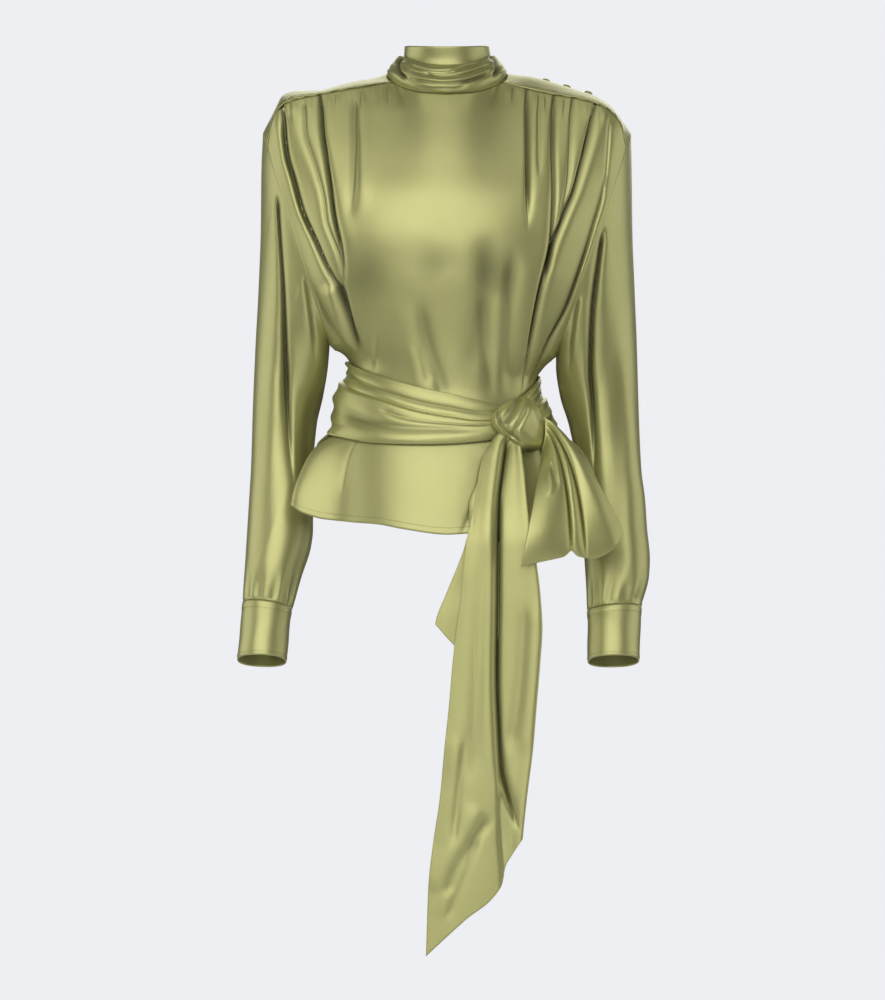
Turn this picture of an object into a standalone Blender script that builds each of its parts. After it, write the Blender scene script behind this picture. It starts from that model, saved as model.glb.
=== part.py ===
# Belted satin top: front, back, two shoulder yokes, a draped stand collar, gathered
# sleeves with cuffs, a wide sash with knot, loop and two tails, and three covered buttons.
# The cloth is hollow, as it hangs on a wearer who isn't there. Tables are in millimetres.
# +Z is up, -Y is the front and +X is the wearer's left. The origin is at the base of the
# neck, midway between the shoulders, where the wearer holds the garment up.
import math

import bpy
import bmesh
import numpy as np

MM = 0.001

# driving sizes
WALL = 2.0            # cloth of the bodice and sleeves, measured towards their middle
SHEET = 1.6           # loose cloth of the sash and the collar
SEAM_GAP = 0.4        # each side of a seam
ARMHOLE_GAP = 0.15    # each side of the armhole's plane
ROUNDNESS = 2.3       # superellipse exponent of the body's and the sleeves' sections
BUTTON_RADIUS = 5.0
BUTTON_HEIGHT = 3.2
BUTTON_GAP = 0.4

SATIN = (0.36, 0.35, 0.16, 1.0)

# Collar seam, half round from the front to the back: angle from the front, half width,
# depth towards the back and height.
NECK_SEAM = [
    # angle, x, y, z
    (0, 0, -64, -2),
    (25, 30, -59, 0),
    (48, 52, -45, 6),
    (66, 65, -28, 14),
    (90, 71, 0, 24),
    (114, 66, 30, 30),
    (150, 36, 52, 34),
    (180, 0, 59, 35),
]

# Shoulder, out from the neck: the front seam of the yoke, its ridge and its back seam.
# The ridge's and the front seam's heights differ on the two sides.
YOKE = [
    # x, y_front, z_front_left, z_front_right, y_ridge, z_ridge_left, z_ridge_right, y_back, z_back
    (67, -29, 14, 12, 2, 27, 29, 32, 28),
    (95, -34, 6, 9, 4, 23, 20, 38, 15),
    (126, -39, -1, 4, 5, 15.5, 12.5, 42, 8),
    (155, -42, -6, -2, 6, 7, 6, 45, 1),
    (180, -43, -13, -7, 6, 0, 6, 46, -7),
    (196, -42, -22, -14, 6, -9, 2, 44, -16),
    (208, -39, -38, -30, 5, -27, -20, 41, -30),
]
YOKE_END_Z = -66      # the yoke's front and back corners at the armhole

# Armhole: shoulder point and underarm point, and half its depth.
ARMHOLE = {
    "left": {"shoulder": (221, 5, -47), "underarm": (131, 12, -314), "half_depth": 66},
    "right": {"shoulder": (-221, 5, -47), "underarm": (-141, 12, -301), "half_depth": 66},
}

# Body: depth of the front and the back from the side seam at each height.
BODY_DEPTH = [
    # z, front, back
    (36, 52, 46),
    (0, 76, 66),
    (-30, 92, 82),
    (-80, 112, 96),
    (-130, 126, 101),
    (-170, 130, 100),
    (-215, 125, 94),
    (-260, 112, 86),
    (-310, 97, 78),
    (-345, 89, 73),
    (-385, 88, 73),
    (-405, 92, 77),
    (-440, 101, 86),
    (-480, 109, 95),
    (-530, 115, 102),
]

# Side seam below the underarm: half width on each side, and how far back it lies.
SIDE_SEAM = [
    # z, right, left, y
    (-301, 139, 137, 12),
    (-314, 121, 129, 11),
    (-328, 115, 115, 9),
    (-342, 119, 107, 6),
    (-360, 126, 109, 3),
    (-380, 130, 116, 0),
    (-396, 135, 126, -2),
    (-420, 142, 139, -4),
    (-455, 146, 146, -6),
    (-510, 151, 150, -8),
]

# Level rows of the front and the back, by the height of their ends.
ROW_HEIGHTS = (
    YOKE_END_Z, -84, -106, -132, -160, -190, -220, -250, -277, -300, -314, -328, -345, -366,
    -420, -455, -492,
)
WAIST_SEAM = -385         # the peplum is sewn on here, under the sash

# Hem across the front from the wearer's right side to the left, and at the back.
HEM_FRONT = [
    # share, z
    (-1.0, -492),
    (-0.95, -493),
    (-0.91, -503),
    (-0.87, -509),
    (-0.78, -512),
    (-0.55, -515),
    (-0.33, -521),
    (0.0, -527),
    (0.4, -521),
    (0.8, -511),
    (0.9, -503),
    (1.0, -492),
]
HEM_BACK = [(-1.0, -492), (-0.6, -499), (0.0, -503), (0.6, -499), (1.0, -492)]

# The peplum's front corners: how far they stand out sideways and forward.
CORNER_FLARE = [
    # z, out, forward
    (-390, 0, 0),
    (-402, 12, 4),
    (-420, 24, 8),
    (-450, 35, 13),
    (-480, 43, 16),
    (-510, 45, 17),
]
CORNER_AT = 0.78          # where on the half section, from the middle to the side seam
CORNER_WIDTH = 0.13

# Where the gathered cloth is tucked under each yoke, out from the middle.
GATHERS = {
    "left": (92, 103, 118, 130, 138, 150, 160, 169, 180, 188, 198),
    "right": (80, 90, 102, 110, 122, 131, 140, 150, 162, 170, 180, 188),
}
BACK_GATHERS = (84, 101, 118, 135, 152, 169, 186)
GATHER_HEIGHT = 2.6
GATHER_LENGTH = 60.0

# Creases of the front, drawn as seen from the front: a ridge with a trough beside it.
# Side -1 puts the trough on the -X side of a line drawn downwards.
FRONT_CREASES = [
    # side, width, height, path of (x, z)
    (1, 11, 8, [(-198, -30), (-192, -72), (-185, -96), (-174, -138), (-158, -174), (-145, -205),
                (-125, -247), (-112, -300)]),
    (1, 11, 9, [(-152, -22), (-147, -76), (-141, -116), (-136, -150), (-128, -195), (-118, -250),
                (-106, -305)]),
    (1, 8, 5, [(-172, -28), (-158, -96), (-145, -150), (-130, -205), (-120, -240)]),
    (-1, 9, 6, [(-112, -12), (-108, -60), (-107, -104), (-112, -150)]),
    (-1, 11, 9, [(178, -14), (162, -83), (142, -144), (126, -187), (112, -235), (98, -300),
                 (90, -352)]),
    (-1, 10, 8, [(203, -42), (193, -120), (176, -170), (150, -228), (124, -292), (100, -348)]),
    (-1, 8, 6, [(97, 0), (97, -60), (97, -120), (95, -165)]),
    (1, 8, 6, [(130, -4), (129, -66), (130, -120), (124, -190), (112, -240)]),
    (-1, 8, 5, [(151, -10), (147, -94), (136, -145), (124, -190)]),
    (1, 14, 4, [(-60, -230), (-50, -300), (-42, -345)]),
    (-1, 14, 4, [(48, -215), (60, -290), (78, -350)]),
]
BACK_CREASES = [
    (1, 11, 7, [(-188, -40), (-172, -120), (-146, -205), (-112, -300)]),
    (1, 12, 7, [(-140, -10), (-128, -120), (-112, -220), (-96, -310)]),
    (-1, 11, 7, [(188, -40), (172, -120), (146, -205), (108, -310)]),
    (-1, 12, 7, [(140, -10), (128, -120), (112, -220), (94, -320)]),
    (1, 14, 5, [(-80, -20), (-74, -140), (-62, -260), (-50, -325)]),
    (-1, 14, 5, [(80, -20), (74, -140), (62, -260), (50, -325)]),
]
PEPLUM_FLUTES = [
    (1, 8, 5, [(-128, -402), (-146, -432), (-158, -466), (-164, -520)]),
    (1, 9, 4, [(-104, -405), (-116, -440), (-124, -480), (-128, -530)]),
    (1, 16, 4, [(-30, -420), (-34, -460), (-36, -500), (-37, -540)]),
    (-1, 9, 4, [(104, -405), (116, -440), (124, -480), (128, -530)]),
    (-1, 8, 5, [(128, -402), (146, -432), (158, -466), (164, -520)]),
]
BACK_FLUTES = [
    (1, 15, 6, [(-104, -405), (-112, -440), (-116, -480), (-118, -520)]),
    (1, 16, 6, [(-48, -405), (-52, -440), (-54, -480), (-55, -520)]),
    (-1, 16, 6, [(48, -405), (52, -440), (54, -480), (55, -520)]),
    (-1, 15, 6, [(104, -405), (112, -440), (116, -480), (118, -520)]),
]

# Sleeve outline seen from the front: how far out its outer and inner edges are.
SLEEVE_OUTER = [
    # z, right, left
    (-47, 221, 221),
    (-90, 223, 222),
    (-162, 224, 223),
    (-234, 227, 226),
    (-306, 231, 229),
    (-378, 234, 231),
    (-450, 236, 234),
    (-486, 238, 238),
    (-522, 240, 240),
    (-558, 242, 243),
    (-576, 243, 242),
    (-609, 244, 233),
]
SLEEVE_INNER = [
    # z, right, left
    (-301, 141, 131),
    (-324, 143, 131),
    (-360, 149, 136),
    (-396, 157, 147),
    (-450, 161, 157),
    (-522, 161, 163),
    (-540, 163, 164),
    (-576, 174, 166),
    (-617, 186, 168),
]
# Rings of the sleeve from armhole to cuff: how high they meet the two outlines on each
# side, their half depth, how far back their centres lie, and how far they lean.
SLEEVE_RINGS = [
    # outer_right, outer_left, inner_right, inner_left, half_depth, y_centre, lean_degrees
    (-47, -47, -301, -314, 66, 8, 0),
    (-105, -105, -311, -323, 64, 14, 0),
    (-175, -175, -325, -335, 60, 21, 1),
    (-250, -250, -347, -355, 56, 30, 2),
    (-320, -320, -380, -385, 52, 35, 4),
    (-390, -391, -424, -427, 49, 33, 7),
    (-455, -457, -476, -478, 47, 24, 9),
    (-515, -518, -526, -527, 46, 12, 11),
    (-560, -564, -568, -569, 43, 0, 12),
    (-590, -595, -598, -599, 38, -8, 13),
    (-609, -615, -617, -619, 34, -13, 13),
]
# Sleeve creases: angle round the sleeve from its outer edge over the front, at percents
# of the way down.
SLEEVE_CREASES = [
    # side, width, height, path of (percent, degrees)
    (1, 24, 9, [(2, 72), (18, 84), (36, 98), (55, 112), (72, 128)]),
    (1, 20, 6, [(2, 112), (20, 132), (40, 150), (52, 160)]),
    (-1, 24, 6, [(3, 245), (20, 232), (42, 218), (62, 205)]),
    (1, 24, 5, [(55, 70), (70, 84), (86, 96), (96, 100)]),
    (-1, 26, 5, [(40, 290), (60, 275), (80, 262), (95, 258)]),
]
SLEEVE_PUCKERS = 8        # round the cuff seam
PUCKER_HEIGHT = 1.5

# Cuffs: both ends of the outer and the inner edge, and rings from seam to rim.
CUFF = {
    "right": {"outer": ((-245, -609), (-251, -677)), "inner": ((-186, -617), (-192, -679))},
    "left": {"outer": ((233, -615), (230, -678)), "inner": ((168, -619), (168, -679))},
}
CUFF_RINGS = [
    # share, half_depth, y_centre, lean_degrees, swell
    (0.0, 34.5, -13, 13, 1.0),
    (0.12, 34.5, -15, 13, 1.0),
    (0.15, 33.7, -15.5, 13, 0.98),
    (1.0, 34, -29, 14, 1.0),
]

# Belt by the angle round the waist: 0 is the wearer's left, 90 the back, 180 the right
# and 270 the front. Its top and bottom edge and the upper edge of its outer layer.
BELT = [
    # angle, z_top, z_bottom, z_layer
    (0, -338, -400, -362),
    (60, -330, -396, -356),
    (120, -324, -394, -352),
    (170, -319, -395, -343),
    (185, -320, -397, -344),
    (205, -327, -408, -352),
    (235, -340, -418, -366),
    (262, -354, -420, -383),
    (285, -367, -416, -392),
    (302, -373, -409, -390),
    (320, -362, -406, -382),
    (340, -348, -403, -370),
    (360, -338, -400, -362),
]
# Its section: how far it stands off the body from its top edge, over the outer layer's
# edge at 1, to its bottom edge at 2.
BELT_SECTION = [
    # step, stand_off
    (0.0, 4.6),
    (0.25, 5.8),
    (0.55, 4.4),
    (0.85, 5.2),
    (0.97, 4.6),
    (1.03, 8.6),
    (1.25, 9.8),
    (1.55, 7.8),
    (1.8, 8.8),
    (2.0, 7.2),
]

# Collar drape: rings from its top edge towards the seam, which is its last ring.
COLLAR_RINGS = [
    # share, half_width, front, back, z_side, z_front, z_back
    (0.0, 58, 54, 54, 47, 33, 50),
    (0.25, 64, 61, 60, 40, 26, 46),
    (0.55, 70, 67, 64, 32, 15, 41),
    (0.85, 73, 70, 64, 26, 3, 37),
]
COLLAR_FOLDS = 3.5
COLLAR_FOLD_HEIGHT = 2.4
STAND_RINGS = [
    # share, half_width, front, back, z_side, z_front, z_back
    (0.0, 51, 46, 47, 58, 55, 60),
    (0.35, 52.5, 48, 48, 45, 38, 50),
    (1.0, 68.2, 61.4, 56.2, 25.5, 0, 36.5),
]

KNOT_CENTRE = (85, -96, -398)
KNOT_DEPTH = 25
KNOT_LEAN = 0.3           # how much its back turns away with the body
KNOT_BACK = 6.8
# Its outline seen from the front: angle from +X towards +Z, and radius.
KNOT_OUTLINE = [
    (0, 31), (21, 30), (48, 33), (74, 35), (94, 33.5), (116, 31), (141, 32), (162, 33),
    (196, 26), (230, 20), (262, 24), (283, 35), (316, 37), (338, 33), (360, 31),
]
KNOT_WRAPS = 3.5
KNOT_WRAP_HEIGHT = 2.0
KNOT_SLOPE = -52          # degrees that the wraps slope, seen from the front

# Loop: where each strand of the gathered band leaves the knot, its middle and where it
# turns back at the bottom, from the outer side of the fan to the inner one.
LOOP_STRANDS = [
    # share, x_knot, z_knot, x_middle, z_middle, x_turn, z_turn, y_turn
    (0.0, 115, -388, 157, -431, 208, -523, -114),
    (0.2, 116, -395, 152, -440, 200, -540, -120),
    (0.4, 116, -402, 144, -450, 172, -555, -128),
    (0.6, 116, -409, 133, -458, 148, -554, -138),
    (0.8, 115, -417, 120, -468, 118, -554, -148),
    (1.0, 113, -426, 105, -472, 88, -559, -156),
]
LOOP_Y_KNOT = -92
LOOP_BULGE = 12
LOOP_PLEATS = 3
LOOP_PLEAT_HEIGHT = 4.0

# Long tail by height: its left edge, its crease, the turn on its right and the free edge
# that is folded back behind.
TAIL = [
    # z, x_edge, x_crease, x_turn, x_free, y
    (-405, 44, 74, 84, 75, -104),
    (-432, 40, 70, 89, 72, -110),
    (-452, 38, 68, 92, 70, -117),
    (-480, 34, 65, 95, 67, -126),
    (-506, 29, 62, 98, 64, -133),
    (-540, 22, 61, 103, 63, -137),
    (-602, 16, 60, 111, 62, -136),
    (-637, 11, 60, 113, 62, -135),
    (-683, 6, 60, 110, 62, -134),
    (-730, 2, 62, 106, 64, -133),
    (-777, -3, 64, 102, 66, -132),
    (-841, -9, 61, 94, 73, -131),
    (-887, -16, 63, 89, 85, -130),
    (-941, -22, 67, 86, 84, -130),
    (-1025, -25, 60, 80, 78, -130),
]
# Its ends: share across the cloth, height of the top and of the slanting lower end.
TAIL_ENDS = [
    (0.0, -412, -1025),
    (0.25, -418, -983),
    (0.48, -420, -943),
    (0.51, -415.5, -926),
    (0.64, -421, -903),
    (0.74, -426.5, -886),
    (1.0, -436, -795),
]
# Depth of its layers across the cloth, negative in front.
TAIL_LAYERS = [
    (0.0, 0.0), (0.12, -3.5), (0.3, -5.6), (0.46, -1.8), (0.52, 2.4), (0.62, 0.8),
    (0.72, -1.5), (0.78, 4.0), (0.88, 6.2), (1.0, 6.6),
]

# Short tail behind the long one.
SHORT_TAIL = [
    # z, x_edge, x_other, y
    (-440, 48, 74, -105),
    (-466, 35, 82, -112),
    (-490, 26, 86, -119),
    (-516, 26, 88, -125),
    (-540, 21, 90, -127),
    (-565, 12, 91, -127),
    (-594, 0, 90, -126),
    (-633, -14, 88, -125),
    (-715, -18, 84, -123),
]
SHORT_TAIL_ENDS = [(0.0, -446, -633), (0.25, -446, -659), (0.6, -446, -688), (1.0, -446, -710)]

# Buttons on the wearer's left yoke, out from the neck.
BUTTONS = (119, 144, 170)

# Grid sizes: columns and rows
GRID = {
    "middle": 5, "side": 4, "yoke": (12, 4), "sleeve": (18, 13), "cuff": 18, "stand": (24, 3),
    "collar": (28, 8), "belt": 40, "knot": (16, 9), "loop": (14, 22), "tail": (16, 18),
    "short_tail": (8, 8), "button": 10,
}


def smooth(rows, at, column=1):
    """A monotone cubic through a table's column, read at the given values of column 0."""
    rows = sorted(rows, key=lambda row: row[0])
    x = np.array([row[0] for row in rows], float)
    y = np.array([row[column] for row in rows], float)
    step, rise = np.diff(x), np.diff(y)
    slope = rise / step
    tangent = np.zeros(len(x))
    tangent[0], tangent[-1] = slope[0], slope[-1]
    for i in range(1, len(x) - 1):
        a, b = slope[i - 1], slope[i]
        if a * b > 0:
            w1, w2 = 2 * step[i] + step[i - 1], step[i] + 2 * step[i - 1]
            tangent[i] = (w1 + w2) / (w1 / a + w2 / b)
    at = np.clip(np.asarray(at, float), x[0], x[-1])
    i = np.clip(np.searchsorted(x, at) - 1, 0, len(x) - 2)
    t = (at - x[i]) / step[i]
    return (
        (2 * t**3 - 3 * t**2 + 1) * y[i] + (t**3 - 2 * t**2 + t) * step[i] * tangent[i]
        + (-2 * t**3 + 3 * t**2) * y[i + 1] + (t**3 - t**2) * step[i] * tangent[i + 1]
    )


def ease(low, high, at):
    """0 before low, 1 after high and smooth between."""
    t = np.clip((np.asarray(at, float) - low) / (high - low), 0, 1)
    return t * t * (3 - 2 * t)


def unit(vectors):
    return vectors / np.maximum(np.linalg.norm(vectors, axis=-1, keepdims=True), 1e-9)


def signed_power(value, power):
    return np.sign(value) * np.abs(value) ** power


def crease_relief(a, b, creases):
    """Height of the creases at the points (a, b): a ridge and a narrow trough along each
    line, fading out at both ends."""
    total = np.zeros(np.shape(a))
    for side, width, height, path in creases:
        line = np.array(path, float)
        steps = np.arange(len(line))
        fine = np.linspace(0, len(line) - 1, 6 * len(line))
        line_a = smooth(list(zip(steps, line[:, 0])), fine)
        line_b = smooth(list(zip(steps, line[:, 1])), fine)
        nearest = np.full(np.shape(a), np.inf)
        across, along = np.zeros(np.shape(a)), np.zeros(np.shape(a))
        for k in range(len(fine) - 1):
            da, db = line_a[k + 1] - line_a[k], line_b[k + 1] - line_b[k]
            length = math.hypot(da, db)
            t = np.clip(((a - line_a[k]) * da + (b - line_b[k]) * db) / length**2, 0, 1)
            gap = np.hypot(a - line_a[k] - t * da, b - line_b[k] - t * db)
            turn = da * (b - line_b[k]) - db * (a - line_a[k])
            near = gap < nearest
            across = np.where(near, np.sign(turn) * gap, across)
            along = np.where(near, (k + t) / (len(fine) - 1), along)
            nearest = np.where(near, gap, nearest)
        across = across * side
        taper = ease(0, 0.16, along) * (1 - ease(0.84, 1.0, along))
        ridge = 0.7 * np.exp(-(((across + 0.75 * width) / width) ** 2))
        trough = np.exp(-(((across - 0.45 * width) / (0.55 * width)) ** 2))
        total += height * taper * (ridge - trough)
    return total


def satin(name):
    made = bpy.data.materials.new(name + "_satin")
    made.use_nodes = True
    shader = made.node_tree.nodes["Principled BSDF"]
    shader.inputs["Base Color"].default_value = SATIN
    shader.inputs["Roughness"].default_value = 0.38
    shader.inputs["Metallic"].default_value = 0.0
    return made


def finished(name, shape):
    """The mesh as an object of the satin, its faces pointing out."""
    bmesh.ops.triangulate(shape, faces=shape.faces)
    if shape.calc_volume(signed=True) < 0:
        bmesh.ops.reverse_faces(shape, faces=shape.faces)
    mesh = bpy.data.meshes.new(name)
    shape.to_mesh(mesh)
    shape.free()
    mesh.shade_smooth()
    mesh.materials.append(satin(name))
    piece = bpy.data.objects.new(name, mesh)
    bpy.context.scene.collection.objects.link(piece)
    return piece


def wall(name, outer, inward, thickness, closed=False):
    """A closed solid from a grid of outer points: the grid, the same grid moved inwards,
    and rims between them. The columns of a closed grid meet round a tube."""
    rows, columns = outer.shape[:2]
    shape = bmesh.new()
    top, under = [
        [[shape.verts.new(point * MM) for point in row] for row in layer]
        for layer in (outer, outer + inward * thickness)
    ]
    last = columns if closed else columns - 1
    for r in range(rows - 1):
        for c in range(last):
            d = (c + 1) % columns
            shape.faces.new((top[r][c], top[r][d], top[r + 1][d], top[r + 1][c]))
            shape.faces.new((under[r][c], under[r + 1][c], under[r + 1][d], under[r][d]))
    for c in range(last):
        d = (c + 1) % columns
        shape.faces.new((top[0][d], top[0][c], under[0][c], under[0][d]))
        shape.faces.new((top[-1][c], top[-1][d], under[-1][d], under[-1][c]))
    if not closed:
        for r in range(rows - 1):
            shape.faces.new((top[r][0], top[r + 1][0], under[r + 1][0], under[r][0]))
            shape.faces.new((top[r + 1][-1], top[r][-1], under[r][-1], under[r + 1][-1]))
    return finished(name, shape)


def sheet(name, middle, thickness):
    """Loose cloth: a wall grown half its thickness each way from the sheet's own points."""
    normal = unit(np.cross(np.gradient(middle, axis=0), np.gradient(middle, axis=1)))
    return wall(name, middle + normal * thickness / 2, -normal, thickness)


def armhole_axis(side):
    hole = ARMHOLE[side]
    return np.array(hole["shoulder"], float), np.array(hole["underarm"], float), hole["half_depth"]


def armhole_point(side, angle):
    """A point of the armhole: 0 is the shoulder point, 90 the front, 180 the underarm."""
    high, low, half_depth = armhole_axis(side)
    turn = np.radians(np.asarray(angle, float))[..., None]
    out = signed_power(np.cos(turn), 2 / ROUNDNESS)
    deep = signed_power(np.sin(turn), 2 / ROUNDNESS)
    return (high + low) / 2 + (high - low) / 2 * out + np.array([0, -half_depth, 0]) * deep


def armhole_inward(side, points):
    """From points of the armhole towards the middle line of its loop, in its plane."""
    high, low, half_depth = armhole_axis(side)
    axis = unit(high - low)
    half = np.linalg.norm(high - low) / 2 - half_depth
    along = np.clip((points - (high + low) / 2) @ axis, -half, half)
    return unit((high + low) / 2 + along[..., None] * axis - points)


def armhole_outward(side):
    """Square to the armhole's plane, away from the body."""
    high, low, _ = armhole_axis(side)
    out = unit(np.cross(high - low, np.array([0, 1.0, 0])))
    return out * np.sign(out[0] * high[0])


def armhole_at_height(side, z, back):
    """The armhole's points at the given heights, on its front or its back half."""
    points = armhole_point(side, np.linspace(0, -180 if back else 180, 361))[::-1]
    return np.stack([np.interp(z, points[:, 2], points[:, k]) for k in range(3)], -1)


def armhole_angle(side, z):
    """How far from the shoulder point the armhole reaches a height, in degrees."""
    angles = np.linspace(180, 0, 721)
    return float(np.interp(z, armhole_point(side, angles)[:, 2], angles))


def side_edge(side, back, z):
    """The side edge of the front or the back at the rows' heights: down the armhole, then
    down the side seam."""
    sign = 1 if side == "left" else -1
    underarm = ARMHOLE[side]["underarm"][2]
    on_hole = armhole_at_height(side, np.maximum(z, underarm), back)
    seam_x = sign * smooth(SIDE_SEAM, z, 2 if side == "left" else 1)
    on_seam = np.stack([seam_x, smooth(SIDE_SEAM, z, 3), z], -1)
    return np.where((z > underarm)[:, None], on_hole, on_seam)


def top_edge(side, back, x):
    """How far back and how high the top edge of the front or the back lies: along the
    collar seam, then along the yoke's seam to the armhole."""
    neck = [row[1:] for row in NECK_SEAM if (row[0] >= 114 if back else row[0] <= 66)]
    height = 8 if back else (2 if side == "left" else 3)
    seam = [(row[0], row[7 if back else 1], row[height]) for row in YOKE[1:]]
    corner = armhole_at_height(side, np.array([YOKE_END_Z]), back)[0]
    rows = neck + seam + [(abs(corner[0]), corner[1], corner[2])]
    return smooth(rows, x, 1), smooth(rows, x, 2)


def seam_inward(side, back, points):
    """Into the garment along the yoke's seams: down and in, and in the armhole's plane at
    the shoulder's end."""
    facing = np.array([0, -1.0 if back else 1.0, 0])
    plain = np.broadcast_to(unit(0.5 * facing + np.array([0, 0, -1.0])), points.shape)
    near = ease(178, 212, np.abs(points[..., 0]))[..., None]
    return unit(plain * (1 - near) + armhole_inward(side, points) * near)


def section(s):
    """Depth of a unit superellipse at a share of its half width."""
    return (1 - np.minimum(np.abs(s), 1) ** ROUNDNESS) ** (1 / ROUNDNESS)


def panel_columns(side, back):
    """Distances from the middle at the yoke's seam: a column for each tuck and each puff."""
    tucks = np.array(BACK_GATHERS if back else GATHERS[side], float)
    puffs = (tucks[1:] + tucks[:-1]) / 2
    first, last = tucks[0] - (puffs[0] - tucks[0]), tucks[-1] + (tucks[-1] - puffs[-1])
    end = abs(armhole_at_height(side, np.array([YOKE_END_Z]), back)[0][0])
    return np.sort(np.concatenate([
        np.linspace(0, first, GRID["middle"] + 1), tucks, puffs,
        np.linspace(last, end, GRID["side"]),
    ]))


def gathers(side, back, x):
    """-1 in each tuck and +1 on each puff between them, by the distance at the seam."""
    tucks = np.array(BACK_GATHERS if back else GATHERS[side], float)
    count = np.interp(x, tucks, np.arange(len(tucks)))
    inside = ease(tucks[0] - 6, tucks[0], x) * (1 - ease(tucks[-1], tucks[-1] + 6, x))
    return -np.cos(2 * math.pi * count) * inside


def corner_flare(u, z):
    """How the peplum's front corners stand out."""
    bump = np.exp(-(((np.abs(u) - CORNER_AT) / CORNER_WIDTH) ** 2))
    moved = np.zeros(np.shape(z) + (3,))
    moved[..., 0] = np.sign(u) * smooth(CORNER_FLARE, z, 1) * bump
    moved[..., 1] = -smooth(CORNER_FLARE, z, 2) * bump
    return moved


def half_panel(side, back, columns, z_rows):
    """One side of the front or the back from the middle to the edge, with its directions
    into the garment."""
    sign = 1 if side == "left" else -1
    facing = 1 if back else -1
    which = 2 if back else 1
    edge = side_edge(side, back, z_rows)
    underarm = ARMHOLE[side]["underarm"]
    seam_y = np.where(edge[:, 2] > underarm[2], underarm[1], edge[:, 1])[:, None]
    edge_x = np.abs(edge[:, 0])[:, None]
    lack = np.abs(edge[:, 1:2] - seam_y) / smooth(BODY_DEPTH, edge[:, 2:], which)
    reach = edge_x / section(lack)
    limit = np.arcsin((edge_x / reach) ** (ROUNDNESS / 2))
    u = (np.arcsin((columns / reach[0]) ** (ROUNDNESS / 2)) / limit[0])[None, :]
    u = np.minimum(u, 1.0)
    s = np.sin(u * limit) ** (2 / ROUNDNESS)
    x = s * reach
    flat = x / edge_x
    y_top, z_top = top_edge(side, back, flat[:1] * edge_x[0])
    low = smooth(HEM_BACK if back else HEM_FRONT, sign * flat)
    level = edge[:, 2:]
    z = level + (z_top - z_rows[0]) * (1 - ease(-z_rows[0], 277, -level))
    z = z + (low - z_rows[-1]) * ease(420, -z_rows[-1], -level)
    depth = smooth(BODY_DEPTH, z, which)
    depth = depth + (smooth(BODY_DEPTH, level, which) - depth) * flat**6
    y = seam_y + facing * depth * section(s)
    fade = 1 - ease(-z_rows[0], 190, -level)
    y = y + (y_top - y[:1]) * fade
    points = np.stack([sign * x, y, z], -1)
    core = np.stack([sign * x * 0.35, np.broadcast_to(seam_y, x.shape), z], -1)
    inward = unit(core - points)
    by_hole = (ease(0.7, 1.0, u) * ease(-8, 0, edge[:, 2:] - underarm[2]))[..., None]
    inward = unit(inward * (1 - by_hole) + armhole_inward(side, points) * by_hole)
    by_seam = (1 - ease(-z_rows[0], 100, -level))[..., None] * np.ones(points.shape)
    inward = unit(inward * (1 - by_seam) + seam_inward(side, back, points) * by_seam)
    drop = z_top - z
    tuck = gathers(side, back, flat[:1] * edge_x[0]) * ease(0, 8, drop)
    tuck = GATHER_HEIGHT * tuck * (1 - ease(0.15, 1.0, drop / GATHER_LENGTH))
    if back:
        relief = crease_relief(x * sign, z, BACK_CREASES)
        flutes = crease_relief(x * sign, z, BACK_FLUTES)
    else:
        relief = crease_relief(x * sign, z, FRONT_CREASES)
        flutes = crease_relief(x * sign, z, PEPLUM_FLUTES)
    relief = relief * ease(0, 12, drop) * ease(-338, -316, z)
    relief = relief + flutes * ease(400, 440, -z)
    relief = (relief + tuck) * (1 - ease(0.88, 1.0, u))
    points = points - inward * relief[..., None]
    if not back:
        points = points + corner_flare(sign * np.broadcast_to(u, x.shape), z)
    near_edge = ease(0.9, 1.0, u) * np.ones(x.shape)
    points[..., 0] -= sign * ARMHOLE_GAP * near_edge
    points[..., 1] += facing * SEAM_GAP * near_edge
    points[0, :, 1] += facing * SEAM_GAP
    points[0, :, 2] -= 1.3 * SEAM_GAP
    return points, inward


def panel(back):
    """The front or the back with its peplum, from the wearer's right to the left."""
    side_name = "back" if back else "front"
    above = [z for z in ROW_HEIGHTS if z > WAIST_SEAM]
    below = [z for z in ROW_HEIGHTS if z < WAIST_SEAM]
    seam = [WAIST_SEAM + SEAM_GAP, WAIST_SEAM - SEAM_GAP]
    z_rows = np.array(above + seam + below, float)
    right = half_panel("right", back, panel_columns("right", back), z_rows)
    left = half_panel("left", back, panel_columns("left", back), z_rows)
    points, inward = [
        np.concatenate([a[:, :0:-1], b], axis=1) for a, b in zip(right, left)
    ]
    cut = len(above) + 1
    wall(side_name, points[:cut], inward[:cut], WALL)
    wall(f"peplum_{side_name}", points[cut:], inward[cut:], WALL)


def yoke_level(row, side, across):
    """A plain section of the yoke, from a row of its table."""
    heights = (2, 5) if side == "left" else (3, 6)
    front, ridge, rear = [
        np.stack([row[0], row[y], row[z]], -1)
        for y, z in ((1, heights[0]), (4, heights[1]), (7, 8))
    ]
    share = across[..., None]
    middle = (front + rear) / 2
    return middle + share * (rear - front) / 2 + (ridge - middle) * (1 - np.abs(share) ** 2.2)


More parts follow.
